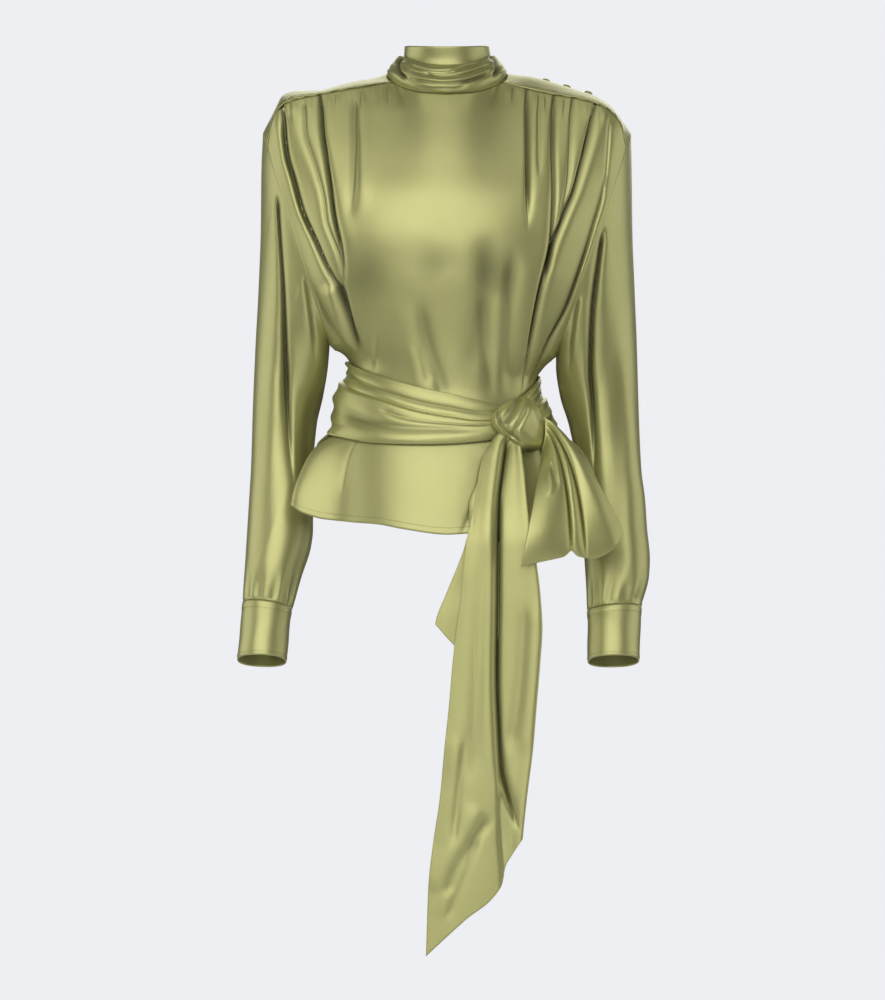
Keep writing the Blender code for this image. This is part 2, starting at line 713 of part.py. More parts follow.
def yoke_surface(side, along, across):
    """A point of the yoke: along from the neck to the armhole, 0 to 1, and across from its
    front seam to its back seam, -1 to 1."""
    x = YOKE[0][0] + (YOKE[-1][0] - YOKE[0][0]) * along
    points = yoke_level([x] + [smooth(YOKE, x, k) for k in range(1, 9)], side, across)
    neck = np.stack([smooth(NECK_SEAM, 90 + 24 * across, k) for k in (1, 2, 3)], -1)
    neck = neck + np.array([3 * SEAM_GAP, 0, 0])
    near_neck = (1 - ease(0, 0.3, along))[..., None]
    points = points + (neck - yoke_level(YOKE[0], side, across)) * near_neck
    tip = armhole_point(side, -across * armhole_angle(side, YOKE_END_Z))
    tip = np.abs(tip[..., :1]) * np.array([1, 0, 0]) + tip * np.array([0, 1, 1])
    tip = tip - np.array([2 * ARMHOLE_GAP, 0, 0])
    near_tip = ease(0.68, 1.0, along)[..., None]
    points = points + (tip - yoke_level(YOKE[-1], side, across)) * near_tip
    return points * np.array([1 if side == "left" else -1, 1, 1])


def yoke(side):
    """A strip over the shoulder, from the collar to the armhole."""
    columns, rows = GRID["yoke"]
    along, across = np.meshgrid(np.linspace(0, 1, columns + 1), np.linspace(-1, 1, rows + 1))
    points = yoke_surface(side, along, across)
    share = (across[..., None] + 1) / 2
    front, rear = seam_inward(side, False, points), seam_inward(side, True, points)
    inward = unit(front * (1 - share) + rear * share)
    points[0, :, 1] += SEAM_GAP
    points[-1, :, 1] -= 2.5 * SEAM_GAP
    return wall("yoke_" + side, points, inward, WALL)


def ring_points(centre, half, deep, turn):
    out = signed_power(np.cos(turn), 2 / ROUNDNESS)[:, None]
    front = signed_power(np.sin(turn), 2 / ROUNDNESS)[:, None]
    return centre + out * half + front * deep


def sleeve_ring(side, share):
    """Centre, half width and half depth of a sleeve's ring, share 0 to 1 down the sleeve."""
    sign, column = (1, 2) if side == "left" else (-1, 1)
    steps = np.linspace(0, 1, len(SLEEVE_RINGS))
    row = [float(smooth(list(zip(steps, [r[k] for r in SLEEVE_RINGS])), share)) for k in range(7)]
    z_outer, z_inner, half_depth, y = row[column - 1], row[column + 1], row[4], row[5]
    outer = np.array([sign * smooth(SLEEVE_OUTER, z_outer, column), y, z_outer])
    inner = np.array([sign * smooth(SLEEVE_INNER, z_inner, column), y, z_inner])
    lean = math.radians(row[6])
    deep = np.array([0, -math.cos(lean), math.sin(lean)]) * half_depth
    return (outer + inner) / 2, (outer - inner) / 2, deep


def sleeve(side):
    """A tube of rings from the armhole to the cuff."""
    columns, rows = GRID["sleeve"]
    turn = np.linspace(0, 2 * math.pi, columns + 1)[:-1]
    shares = np.linspace(0, 1, rows + 1)
    hole = armhole_point(side, np.degrees(turn))
    first = ring_points(*sleeve_ring(side, 0.0), turn)
    points, inward = [], []
    for share in shares:
        centre, half, deep = sleeve_ring(side, share)
        ring = ring_points(centre, half, deep, turn)
        by_hole = 1 - ease(0, 0.22, share)
        toward = unit(centre - ring) * (1 - by_hole) + armhole_inward(side, hole) * by_hole
        points.append(ring + (hole - first) * by_hole)
        inward.append(unit(toward))
    points, inward = np.array(points), np.array(inward)
    share, angle = np.meshgrid(shares, np.degrees(turn), indexing="ij")
    relief = crease_relief(100 * share, angle, SLEEVE_CREASES)
    relief = relief * ease(0, 0.08, share) * (1 - ease(0.9, 1, share))
    puckers = np.cos(np.radians(angle) * SLEEVE_PUCKERS) * ease(0.84, 0.93, share)
    relief = relief + PUCKER_HEIGHT * puckers * (1 - ease(0.97, 1, share))
    points = points - inward * relief[..., None]
    points[0] += armhole_outward(side) * ARMHOLE_GAP
    return wall("sleeve_" + side, points, inward, WALL, closed=True)


def cuff(side):
    """A band with its stitched upper edge."""
    turn = np.linspace(0, 2 * math.pi, GRID["cuff"] + 1)[:-1]
    points, inward = [], []
    for share, half_depth, y, lean, swell in CUFF_RINGS:
        outer, inner = [
            np.array([x0 + (x1 - x0) * share, y, z0 + (z1 - z0) * share])
            for (x0, z0), (x1, z1) in (CUFF[side]["outer"], CUFF[side]["inner"])
        ]
        tilt = math.radians(lean)
        deep = np.array([0, -math.cos(tilt), math.sin(tilt)]) * half_depth
        centre = (outer + inner) / 2 - np.array([0, 0, 2 * SEAM_GAP])
        ring = ring_points(centre, (outer - inner) / 2 * swell, deep, turn)
        points.append(ring)
        inward.append(unit(centre - ring))
    return wall("cuff_" + side, np.array(points), np.array(inward), WALL, closed=True)


def neck_ring(row, turn):
    """A ring of the collar: 0 is the front and 180 degrees the back."""
    _, half_width, front, back, z_side, z_front, z_back = row
    forward = np.cos(turn)
    x = half_width * signed_power(np.sin(turn), 2 / 2.15)
    y = np.where(forward > 0, -front, back) * np.abs(forward) ** (2 / 2.15)
    z = z_side + np.where(forward > 0, z_front - z_side, z_back - z_side) * forward**2
    return np.stack([x, y, z], -1)


def neck_seam_ring(turn):
    angle = np.degrees(np.arccos(np.clip(np.cos(turn), -1, 1)))
    x = smooth(NECK_SEAM, angle, 1) * np.sign(np.sin(turn))
    return np.stack([x, smooth(NECK_SEAM, angle, 2), smooth(NECK_SEAM, angle, 3)], -1)


def collar(name, rings, grid, folds):
    """The stand or the drape over it, from the top edge down."""
    columns, rows = grid
    turn = np.linspace(0, 2 * math.pi, columns + 1)[:-1]
    shares = np.linspace(0, 1, rows + 1)
    last = rings[-1][0]
    seam = neck_seam_ring(turn) + np.array([0, 0, 2 * SEAM_GAP])
    points = []
    for share in shares:
        row = [share] + [float(smooth(rings, share, k)) for k in range(1, 7)]
        ring = neck_ring(row, turn)
        if last < 1:
            ring = ring + (seam - ring) * ease(last - 0.15, 1.0, share)
        points.append(ring)
    points = np.array(points)
    toward = points.mean(axis=1, keepdims=True) - points
    toward[..., 2] = 0
    inward = unit(toward)
    if folds:
        sag = 0.2 * np.cos(turn)[None, :].clip(0)
        wave = np.sin(2 * math.pi * folds * (shares[:, None] - sag))
        quiet = np.sin(math.pi * shares[:, None]).clip(0) ** 0.7
        points = points - inward * (COLLAR_FOLD_HEIGHT * wave * quiet)[..., None]
    return wall(name, points, inward, SHEET, closed=True)


def waist_point(angle, z, stand_off):
    """A point off the body below the underarm, by its angle round it."""
    turn = np.radians(angle)
    cos, sin = np.cos(turn), np.sin(turn)
    half_width = np.where(cos > 0, smooth(SIDE_SEAM, z, 2), smooth(SIDE_SEAM, z, 1)) + stand_off
    depth = np.where(sin > 0, smooth(BODY_DEPTH, z, 2), smooth(BODY_DEPTH, z, 1)) + stand_off
    x = half_width * signed_power(cos, 2 / ROUNDNESS)
    y = smooth(SIDE_SEAM, z, 3) + depth * signed_power(sin, 2 / ROUNDNESS)
    u = 1 - np.degrees(np.arccos(np.clip(np.abs(cos), 0, 1))) / 90
    flare = corner_flare(np.sign(cos) * u, z) * (sin <= 0)[..., None]
    return np.stack([x, y, z], -1) + flare


def belt():
    """The sash round the waist: its upper part, and the outer layer over it."""
    angle, step = np.meshgrid(
        np.linspace(0, 360, GRID["belt"] + 1)[:-1], [row[0] for row in BELT_SECTION]
    )
    top, bottom, layer = smooth(BELT, angle, 1), smooth(BELT, angle, 2), smooth(BELT, angle, 3)
    z = np.where(step < 1, top + (layer - top) * step, layer + (bottom - layer) * (step - 1))
    points = waist_point(angle, z, smooth(BELT_SECTION, step))
    toward = -points
    toward[..., 2] = 0
    return wall("belt", points, unit(toward), SHEET, closed=True)


def knot():
    """The wound knot, a flattened lump with sloping wraps."""
    columns, rows = GRID["knot"]
    shape = bmesh.new()
    bmesh.ops.create_uvsphere(shape, u_segments=columns, v_segments=rows, radius=1.0)
    slope = math.radians(KNOT_SLOPE)
    for vertex in shape.verts:
        x, forward, z = vertex.co.x, vertex.co.z, vertex.co.y
        radius = float(smooth(KNOT_OUTLINE, math.degrees(math.atan2(z, x)) % 360))
        across = (z * math.cos(slope) - x * math.sin(slope)) * math.pi * KNOT_WRAPS
        depth = KNOT_DEPTH + KNOT_WRAP_HEIGHT * math.cos(across) if forward > 0 else KNOT_BACK
        rest = KNOT_CENTRE[1] + KNOT_LEAN * max(x * radius, -KNOT_CENTRE[0] / 3)
        vertex.co = (
            (KNOT_CENTRE[0] + x * radius) * MM,
            (rest - forward * depth) * MM,
            (KNOT_CENTRE[2] + z * radius) * MM,
        )
    return finished("knot", shape)


def loop():
    """The band from the knot down, round its turn and back up behind."""
    columns, rows = GRID["loop"]
    share, way = np.meshgrid(np.linspace(0, 1, columns + 1), np.linspace(0, 1, rows + 1))
    down = np.sin((1 - np.abs(2 * way - 1)) * math.pi / 2)
    start, middle, turn = [
        np.stack([smooth(LOOP_STRANDS, share, k), smooth(LOOP_STRANDS, share, k + 1)], -1)
        for k in (1, 3, 5)
    ]
    t = down[..., None]
    control = 2 * middle - (start + turn) / 2
    flat = (1 - t) ** 2 * start + 2 * t * (1 - t) * control + t**2 * turn
    facing = np.cos(math.pi * way)
    spread = 2.2 + (LOOP_BULGE - 2.2) * ease(0, 0.6, down)
    line = LOOP_Y_KNOT + (smooth(LOOP_STRANDS, share, 7) - LOOP_Y_KNOT) * ease(0, 1, down)
    pleat = LOOP_PLEAT_HEIGHT * np.cos(2 * math.pi * LOOP_PLEATS * share)
    pleat = pleat * ease(0.05, 0.35, down) * (1 - 0.5 * ease(0.75, 1, down))
    y = line - facing * spread - pleat
    return sheet("loop", np.stack([flat[..., 0], y, flat[..., 1]], -1), SHEET)


def tail_long():
    """The long tail: a front panel, a crease, a second panel and the edge folded behind."""
    columns, rows = GRID["tail"]
    share, fall = np.meshgrid(np.linspace(0, 1, columns + 1), np.linspace(0, 1, rows + 1))
    top, low = smooth(TAIL_ENDS, share, 1), smooth(TAIL_ENDS, share, 2)
    z = top + (low - top) * fall
    edge, crease = smooth(TAIL, z, 1), smooth(TAIL, z, 2)
    turn, free = smooth(TAIL, z, 3), smooth(TAIL, z, 4)
    first = edge + (crease - edge) * share / 0.5
    second = crease + (turn - crease) * (share - 0.5) / 0.24
    third = turn + (free - turn) * (share - 0.74) / 0.26
    x = np.where(share < 0.5, first, np.where(share < 0.74, second, third))
    y = smooth(TAIL, z, 5) + smooth(TAIL_LAYERS, share)
    return sheet("tail_long", np.stack([x, y, z], -1), SHEET)


def tail_short():
    """The short tail, behind the long one."""
    columns, rows = GRID["short_tail"]
    share, fall = np.meshgrid(np.linspace(0, 1, columns + 1), np.linspace(0, 1, rows + 1))
    top, low = smooth(SHORT_TAIL_ENDS, share, 1), smooth(SHORT_TAIL_ENDS, share, 2)
    z = top + (low - top) * fall
    edge, other = smooth(SHORT_TAIL, z, 1), smooth(SHORT_TAIL, z, 2)
    y = smooth(SHORT_TAIL, z, 3) - 2.0 * np.sin(share * math.pi * 2)
    points = np.stack([edge + (other - edge) * share, y, z], -1)
    return sheet("tail_short", points, SHEET)


def button(number, x):
    """A covered button: a low dome on the shoulder's ridge."""
    along = np.array((x - YOKE[0][0]) / (YOKE[-1][0] - YOKE[0][0]))
    here = yoke_surface("left", along, np.array(0.1))
    out = unit(yoke_surface("left", along + 0.02, np.array(0.1)) - here)
    up = unit(np.cross(out, yoke_surface("left", along, np.array(0.15)) - here))
    rear = np.cross(up, out)
    turn = np.linspace(0, 2 * math.pi, GRID["button"] + 1)[:-1, None]
    shape = bmesh.new()
    rings = []
    for radius, height in ((1.0, 0.0), (1.0, 0.45), (0.62, 0.92)):
        base = here + up * (BUTTON_GAP + height * BUTTON_HEIGHT)
        ring = base + BUTTON_RADIUS * radius * (np.cos(turn) * out + np.sin(turn) * rear)
        rings.append([shape.verts.new(point * MM) for point in ring])
    crown = shape.verts.new((here + up * (BUTTON_GAP + BUTTON_HEIGHT)) * MM)
    for low, high in zip(rings, rings[1:]):
        for k, vertex in enumerate(low):
            n = (k + 1) % len(low)
            shape.faces.new((vertex, low[n], high[n], high[k]))
    shape.faces.new(rings[0][::-1])
    for k, vertex in enumerate(rings[-1]):
        shape.faces.new((vertex, rings[-1][(k + 1) % len(rings[-1])], crown))
    return finished(f"button_{number}", shape)


def main():
    for item in list(bpy.data.objects):
        bpy.data.objects.remove(item)
    panel(back=False)
    panel(back=True)
    for side in ("left", "right"):
        yoke(side)
        sleeve(side)
        cuff(side)
    collar("collar_stand", STAND_RINGS, GRID["stand"], 0)
    collar("collar_drape", COLLAR_RINGS, GRID["collar"], COLLAR_FOLDS)
    belt()
    knot()
    loop()
    tail_long()
    tail_short()
    for number, x in enumerate(BUTTONS, 1):
        button(number, x)


main()
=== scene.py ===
# Looks of the belted satin top: fine cloth shells over the CAD solids, their folds and seams,
# the satin, the stitches, the soft light and the camera. Tables are in millimetres.
import math

import bmesh
import bpy
import numpy as np
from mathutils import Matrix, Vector


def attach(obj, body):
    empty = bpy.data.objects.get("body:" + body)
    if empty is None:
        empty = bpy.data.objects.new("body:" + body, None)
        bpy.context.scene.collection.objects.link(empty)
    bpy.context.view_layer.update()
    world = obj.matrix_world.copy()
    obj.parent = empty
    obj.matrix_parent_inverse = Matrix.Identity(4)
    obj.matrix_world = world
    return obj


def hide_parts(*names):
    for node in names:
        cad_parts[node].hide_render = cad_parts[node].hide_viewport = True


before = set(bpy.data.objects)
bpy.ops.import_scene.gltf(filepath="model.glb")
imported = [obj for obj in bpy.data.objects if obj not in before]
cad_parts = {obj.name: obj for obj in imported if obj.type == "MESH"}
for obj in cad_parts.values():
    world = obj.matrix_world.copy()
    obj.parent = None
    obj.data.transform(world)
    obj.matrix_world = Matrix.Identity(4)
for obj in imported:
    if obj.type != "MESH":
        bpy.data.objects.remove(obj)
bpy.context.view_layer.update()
mm = 0.001


# small maths
def tableCurve(rows, at, column=1):
    rows = sorted(rows, key=lambda row: row[0])
    x = np.array([row[0] for row in rows], float)
    y = np.array([row[column] for row in rows], float)
    step = np.diff(x)
    slope = np.diff(y) / step
    tangent = np.zeros(len(x))
    tangent[0], tangent[-1] = slope[0], slope[-1]
    for i in range(1, len(x) - 1):
        a, b = slope[i - 1], slope[i]
        if a * b > 0:  # monotone between the rows
            w1, w2 = 2 * step[i] + step[i - 1], step[i] + 2 * step[i - 1]
            tangent[i] = (w1 + w2) / (w1 / a + w2 / b)
    at = np.clip(np.asarray(at, float), x[0], x[-1])
    i = np.clip(np.searchsorted(x, at) - 1, 0, len(x) - 2)
    t = (at - x[i]) / step[i]
    start = (2 * t**3 - 3 * t**2 + 1) * y[i] + (t**3 - 2 * t**2 + t) * step[i] * tangent[i]
    return start + (-2 * t**3 + 3 * t**2) * y[i + 1] + (t**3 - t**2) * step[i] * tangent[i + 1]


def easeStep(low, high, at):
    t = np.clip((np.asarray(at, float) - low) / (high - low), 0, 1)
    return t * t * (3 - 2 * t)


def unitRows(vectors):
    return vectors / np.maximum(np.linalg.norm(vectors, axis=-1, keepdims=True), 1e-9)


def signedPower(value, power):
    return np.sign(value) * np.abs(value) ** power


def hump(at, width):
    return np.exp(-((at / width) ** 2))


# samples to a path point; a slit's rounding and its reach on either side, as shares of its width
foldShape = {"samples": 5, "rounding": 0.1, "near": 0.19, "far": 0.3, "ends": (0.16, 0.16)}


def foldRelief(a, b, folds, ends=foldShape["ends"], sharp=0.0):
    # each fold is a ridge with a trough beside it, fading at both ends; a sharp one is a
    # low broad ridge that rolls into a narrow slit
    a, b = np.broadcast_arrays(np.asarray(a, float), np.asarray(b, float))
    total = np.zeros(a.shape)
    for side, width, height, path in folds:
        line = np.array(path, float)
        steps = np.arange(len(line))
        fine = np.linspace(0, len(line) - 1, foldShape["samples"] * len(line))
        lineA = tableCurve(list(zip(steps, line[:, 0])), fine)
        lineB = tableCurve(list(zip(steps, line[:, 1])), fine)
        reach = 3 * width
        near = (a > lineA.min() - reach) & (a < lineA.max() + reach)
        near &= (b > lineB.min() - reach) & (b < lineB.max() + reach)
        if not near.any():
            continue
        pa, pb = a[near], b[near]
        best = np.full(pa.shape, np.inf)
        across, along = np.zeros(pa.shape), np.zeros(pa.shape)
        for k in range(len(fine) - 1):
            da, db = lineA[k + 1] - lineA[k], lineB[k + 1] - lineB[k]
            length = math.hypot(da, db)
            t = np.clip(((pa - lineA[k]) * da + (pb - lineB[k]) * db) / length**2, 0, 1)
            gap = np.hypot(pa - lineA[k] - t * da, pb - lineB[k] - t * db)
            turn = da * (pb - lineB[k]) - db * (pa - lineA[k])
            closer = gap < best
            across = np.where(closer, np.sign(turn) * gap, across)
            along = np.where(closer, (k + t) / (len(fine) - 1), along)
            best = np.where(closer, gap, best)
        across = across * side
        taper = easeStep(0, ends[0], along) * (1 - easeStep(1 - ends[1], 1.0, along))
        ridge = (0.7 - 0.52 * sharp) * hump(across + (0.75 + 0.3 * sharp) * width, (1 + 0.3 * sharp) * width)
        rounding = foldShape["rounding"] * width
        rounded = np.hypot(across, rounding) - rounding
        slit = np.exp(-rounded / (width * np.where(across > 0, foldShape["near"], foldShape["far"])))
        trough = (1 - sharp) * hump(across - 0.45 * width, 0.55 * width) + sharp * slit
        total[near] += height * taper * (ridge - trough)
    return total


def allFolds(a, b, look, kinds, side=None):
    # each kind has its own ends and sharpness
    total = 0
    for kind, (ends, sharp) in kinds.items():
        folds = look.get(kind, ())
        total = total + foldRelief(a, b, folds[side] if side else folds, ends, sharp)
    return total


def slitShade(relief):
    # painted shade for the slits: nought on the smooth cloth, one from six millimetres deep
    return np.clip((-relief - 0.5) / 5.5, 0, 1)


# cloth meshes
def placed(name, data):
    piece = bpy.data.objects.new(name, data)
    bpy.context.scene.collection.objects.link(piece)
    return piece


def clothShell(name, outer, inward, wall, closed=False, stride=3, sink=2.0, creaseShade=None):
    # a fine outer grid, a coarser inner one, and rims that join them
    rows, columns = outer.shape[:2]
    innerCols = np.arange(0, columns, stride)
    innerRows = np.arange(0, rows, stride)
    deep = np.full((len(innerRows), len(innerCols)), float(wall))
    fromEnd = np.minimum(np.arange(len(innerRows)), np.arange(len(innerRows))[::-1])
    inside = easeStep(0, 3, fromEnd)[:, None] * np.ones(deep.shape)
    if not closed:
        fromSide = np.minimum(np.arange(len(innerCols)), np.arange(len(innerCols))[::-1])
        inside = inside * easeStep(0, 3, fromSide)[None, :]
    deep = deep + (sink * inside if stride > 1 else 0)
    inner = outer[::stride, ::stride] + inward[::stride, ::stride] * deep[..., None]
    points = np.concatenate([outer.reshape(-1, 3), inner.reshape(-1, 3)]) * mm
    base, wide = rows * columns, len(innerCols)
    last = columns if closed else columns - 1
    r, c = np.meshgrid(np.arange(rows - 1), np.arange(last), indexing="ij")
    d = (c + 1) % columns
    quads = np.stack([r * columns + c, r * columns + d, (r + 1) * columns + d, (r + 1) * columns + c], -1)
    innerLast = wide if closed else wide - 1
    q, s = np.meshgrid(np.arange(len(innerRows) - 1), np.arange(innerLast), indexing="ij")
    t = (s + 1) % wide
    under = base + np.stack([q * wide + s, (q + 1) * wide + s, (q + 1) * wide + t, q * wide + t], -1)
    faces = quads.reshape(-1, 4).tolist() + under.reshape(-1, 4).tolist()
    for k in range(innerLast):  # rims along the first and the last row
        n = (k + 1) % wide
        run = [(k * stride + j) % columns for j in range(stride + 1)]
        faces.append([run[j] for j in range(stride, -1, -1)] + [base + k, base + n])
        low = (rows - 1) * columns
        lowIn = base + (len(innerRows) - 1) * wide
        faces.append([low + j for j in run] + [lowIn + n, lowIn + k])
    if not closed:
        for k in range(len(innerRows) - 1):
            run = [(k * stride + j) * columns for j in range(stride + 1)]
            faces.append(run + [base + (k + 1) * wide, base + k * wide])
            faces.append([j + columns - 1 for j in run[::-1]]
                         + [base + k * wide + wide - 1, base + (k + 1) * wide + wide - 1])
    midRow, midColumn = rows // 2, columns // 2
    middle = outer[midRow, midColumn]
    normal = np.cross(outer[midRow, midColumn + 1] - middle, outer[midRow + 1, midColumn] - middle)
    if np.dot(normal, inward[midRow, midColumn]) > 0:  # the faces point outwards
        faces = [face[::-1] for face in faces]
    mesh = bpy.data.meshes.new(name)
    mesh.from_pydata(points.tolist(), [], faces)
    acrossStep = np.linalg.norm(np.diff(outer, axis=1, append=outer[:, :1]), axis=-1).mean(axis=0)
    downStep = np.linalg.norm(np.diff(outer, axis=0), axis=-1).mean(axis=1)
    u = np.concatenate([[0], np.cumsum(acrossStep)]) * mm
    v = np.concatenate([[0], np.cumsum(downStep)]) * mm
    uOuter = np.broadcast_to(u[:columns], (rows, columns))
    vOuter = np.broadcast_to(v[:, None], (rows, columns))
    uAll = np.concatenate([uOuter.reshape(-1), uOuter[::stride, ::stride].reshape(-1)])
    vAll = np.concatenate([vOuter.reshape(-1), vOuter[::stride, ::stride].reshape(-1)])
    corner = np.empty(len(mesh.loops), np.int32)
    mesh.loops.foreach_get("vertex_index", corner)
    cornerU, cornerV = uAll[corner], vAll[corner]
    if closed:  # the last column runs on to the full girth instead of back to nought
        starts = np.empty(len(mesh.polygons), np.int32)
        totals = np.empty(len(mesh.polygons), np.int32)
        mesh.polygons.foreach_get("loop_start", starts)
        mesh.polygons.foreach_get("loop_total", totals)
        highest = np.maximum.reduceat(cornerU, starts)
        wraps = np.repeat(highest > 0.5 * u[-1], totals) & (cornerU < 0.25 * u[-1])
        cornerU = np.where(wraps, cornerU + u[-1], cornerU)
    # painted shade: each outer point's slit shade goes into the crease attribute, which darkens the satin's
    # colour
    tone = np.zeros(len(points), np.float32)
    if creaseShade is not None:
        tone[:base] = creaseShade.reshape(-1)
    mesh.attributes.new("crease", "FLOAT", "POINT").data.foreach_set("value", tone)
    layer = mesh.uv_layers.new(name="cloth")
    layer.data.foreach_set("uv", np.stack([cornerU, cornerV], -1).reshape(-1).astype(np.float32))
    mesh.shade_smooth()
    mesh.update()
    return placed(name, mesh)


def looseSheet(name, middle, thickness, creaseShade=None):
    # a sheet seen from both sides, grown half its thickness each way
    normal = unitRows(np.cross(np.gradient(middle, axis=0), np.gradient(middle, axis=1)))
    return clothShell(name, middle + normal * thickness / 2, -normal, thickness, stride=1, creaseShade=creaseShade)


def dressed(piece, material, nodes):
    piece.data.materials.clear()
    piece.data.materials.append(material)
    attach(piece, "root")
    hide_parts(*nodes)
    return piece


# shared body of the garment
body = {
    "roundness": 2.3,
    "yokeEnd": -66,
    "waistSeam": -385,
    "sideHem": -492,
    "neckSeam": [(0, 0, -64, -2), (25, 30, -59, 0), (48, 52, -45, 6), (66, 65, -28, 14),
                 (90, 71, 0, 24), (114, 66, 30, 30), (150, 36, 52, 34), (180, 0, 59, 35)],
    # x, front y, front z left, front z right, ridge y, ridge z left, ridge z right, back y, back z
    "yoke": [(67, -29, 14, 12, 2, 27, 29, 32, 28), (95, -34, 6, 9, 4, 23, 20, 38, 15),
             (126, -39, -1, 4, 5, 15.5, 12.5, 42, 8), (155, -42, -6, -2, 6, 7, 6, 45, 1),
             (180, -43, -13, -7, 6, -1, 6, 46, -7), (196, -42, -22, -14, 6, -12, 1, 44, -16),
             (208, -39, -38, -30, 5, -27, -20, 41, -30)],
    "yokeTip": (5, -36, -32),  # the ridge above the armhole: y, z left, z right
    "armhole": {"left": ((221, 5, -47), (131, 12, -314), 66),
                "right": ((-221, 5, -47), (-141, 12, -301), 66)},
    # z, front depth, back depth
    "depth": [(36, 52, 46), (0, 76, 66), (-30, 92, 82), (-80, 112, 96), (-130, 126, 101),
              (-170, 130, 100), (-215, 125, 94), (-260, 112, 86), (-310, 97, 78), (-345, 89, 73),
              (-385, 88, 73), (-405, 92, 77), (-440, 101, 86), (-480, 109, 95), (-530, 115, 102)],
    # z, half width right, left, y of the seam
    "sideSeam": [(-301, 139, 137, 12), (-314, 121, 129, 11), (-328, 115, 115, 9), (-342, 119, 107, 6),
                 (-360, 126, 109, 3), (-380, 130, 116, 0), (-396, 135, 126, -2), (-420, 142, 139, -4),
                 (-455, 146, 146, -6), (-510, 151, 150, -8)],
    "hemFront": [(-1.0, -492), (-0.95, -493), (-0.91, -503), (-0.87, -509), (-0.78, -512), (-0.55, -515),
                 (-0.33, -521), (0.0, -527), (0.4, -521), (0.8, -511), (0.9, -503), (1.0, -492)],
    "hemBack": [(-1.0, -492), (-0.6, -499), (0.0, -503), (0.6, -499), (1.0, -492)],
    # z, out, forward: the peplum's front corners
    "cornerFlare": [(-396, 0, 0), (-407, 10, 3), (-422, 24, 8), (-450, 35, 13), (-480, 43, 16),
                    (-510, 45, 17)],
    "cornerAt": 0.78,
    "cornerWidth": 0.13,
}


def armholePoint(side, angle):
    high, low, halfDepth = body["armhole"][side]
    high, low = np.array(high, float), np.array(low, float)
    turn = np.radians(np.asarray(angle, float))[..., None]
    out = signedPower(np.cos(turn), 2 / body["roundness"])
    deep = signedPower(np.sin(turn), 2 / body["roundness"])
    return (high + low) / 2 + (high - low) / 2 * out + np.array([0, -halfDepth, 0]) * deep


def armholeInward(side, points):
    high, low, halfDepth = body["armhole"][side]
    high, low = np.array(high, float), np.array(low, float)
    axis = unitRows(high - low)
    half = np.linalg.norm(high - low) / 2 - halfDepth
    along = np.clip((points - (high + low) / 2) @ axis, -half, half)
    return unitRows((high + low) / 2 + along[..., None] * axis - points)


def armholeAtHeight(side, z, back):
    points = armholePoint(side, np.linspace(0, -180 if back else 180, 721))[::-1]
    return np.stack([np.interp(z, points[:, 2], points[:, k]) for k in range(3)], -1)


def yokeCorner(side, back):
    # where the yoke's edge meets the armhole
    return armholeAtHeight(side, np.array([float(body["yokeEnd"])]), back)[0]


def armholeAngle(side, z):
    angles = np.linspace(180, 0, 721)
    return float(np.interp(z, armholePoint(side, angles)[:, 2], angles))


def sideEdge(side, back, z):
    sign = 1 if side == "left" else -1
    underarm = body["armhole"][side][1][2]
    onHole = armholeAtHeight(side, np.maximum(z, underarm), back)
    seamX = sign * tableCurve(body["sideSeam"], z, 2 if side == "left" else 1)
    onSeam = np.stack([seamX, tableCurve(body["sideSeam"], z, 3), z], -1)
    return np.where((z > underarm)[:, None], onHole, onSeam)


def topEdge(side, back, x):
    neck = [row[1:] for row in body["neckSeam"] if (row[0] >= 114 if back else row[0] <= 66)]
    height = 8 if back else (2 if side == "left" else 3)
    seam = [(row[0], row[7 if back else 1], row[height]) for row in body["yoke"][1:]]
    corner = yokeCorner(side, back)
    rows = neck + seam + [(abs(corner[0]), corner[1], corner[2])]
    return tableCurve(rows, x, 1), tableCurve(rows, x, 2)


def seamInward(side, back, points):
    facing = np.array([0, -1.0 if back else 1.0, 0])
    plain = np.broadcast_to(unitRows(0.5 * facing + np.array([0, 0, -1.0])), points.shape)
    near = easeStep(178, 212, np.abs(points[..., 0]))[..., None]
    return unitRows(plain * (1 - near) + armholeInward(side, points) * near)


def bodySection(s):
    return (1 - np.minimum(np.abs(s), 1) ** body["roundness"]) ** (1 / body["roundness"])


def cornerFlare(u, z):
    bump = hump(np.abs(u) - body["cornerAt"], body["cornerWidth"])
    moved = np.zeros(np.broadcast(u, z).shape + (3,))
    moved[..., 0] = np.sign(u) * tableCurve(body["cornerFlare"], z, 1) * bump
    moved[..., 1] = -tableCurve(body["cornerFlare"], z, 2) * bump
    return moved


# millimetres of thread, and the rows of each piece's grid that carry a line of it
stitchLook = {"spacing": 3.0, "length": 2.1, "width": 0.6, "proud": 0.2,
              "hemRow": -4, "yokeRows": (2, -3), "cuffRows": (4, 28)}

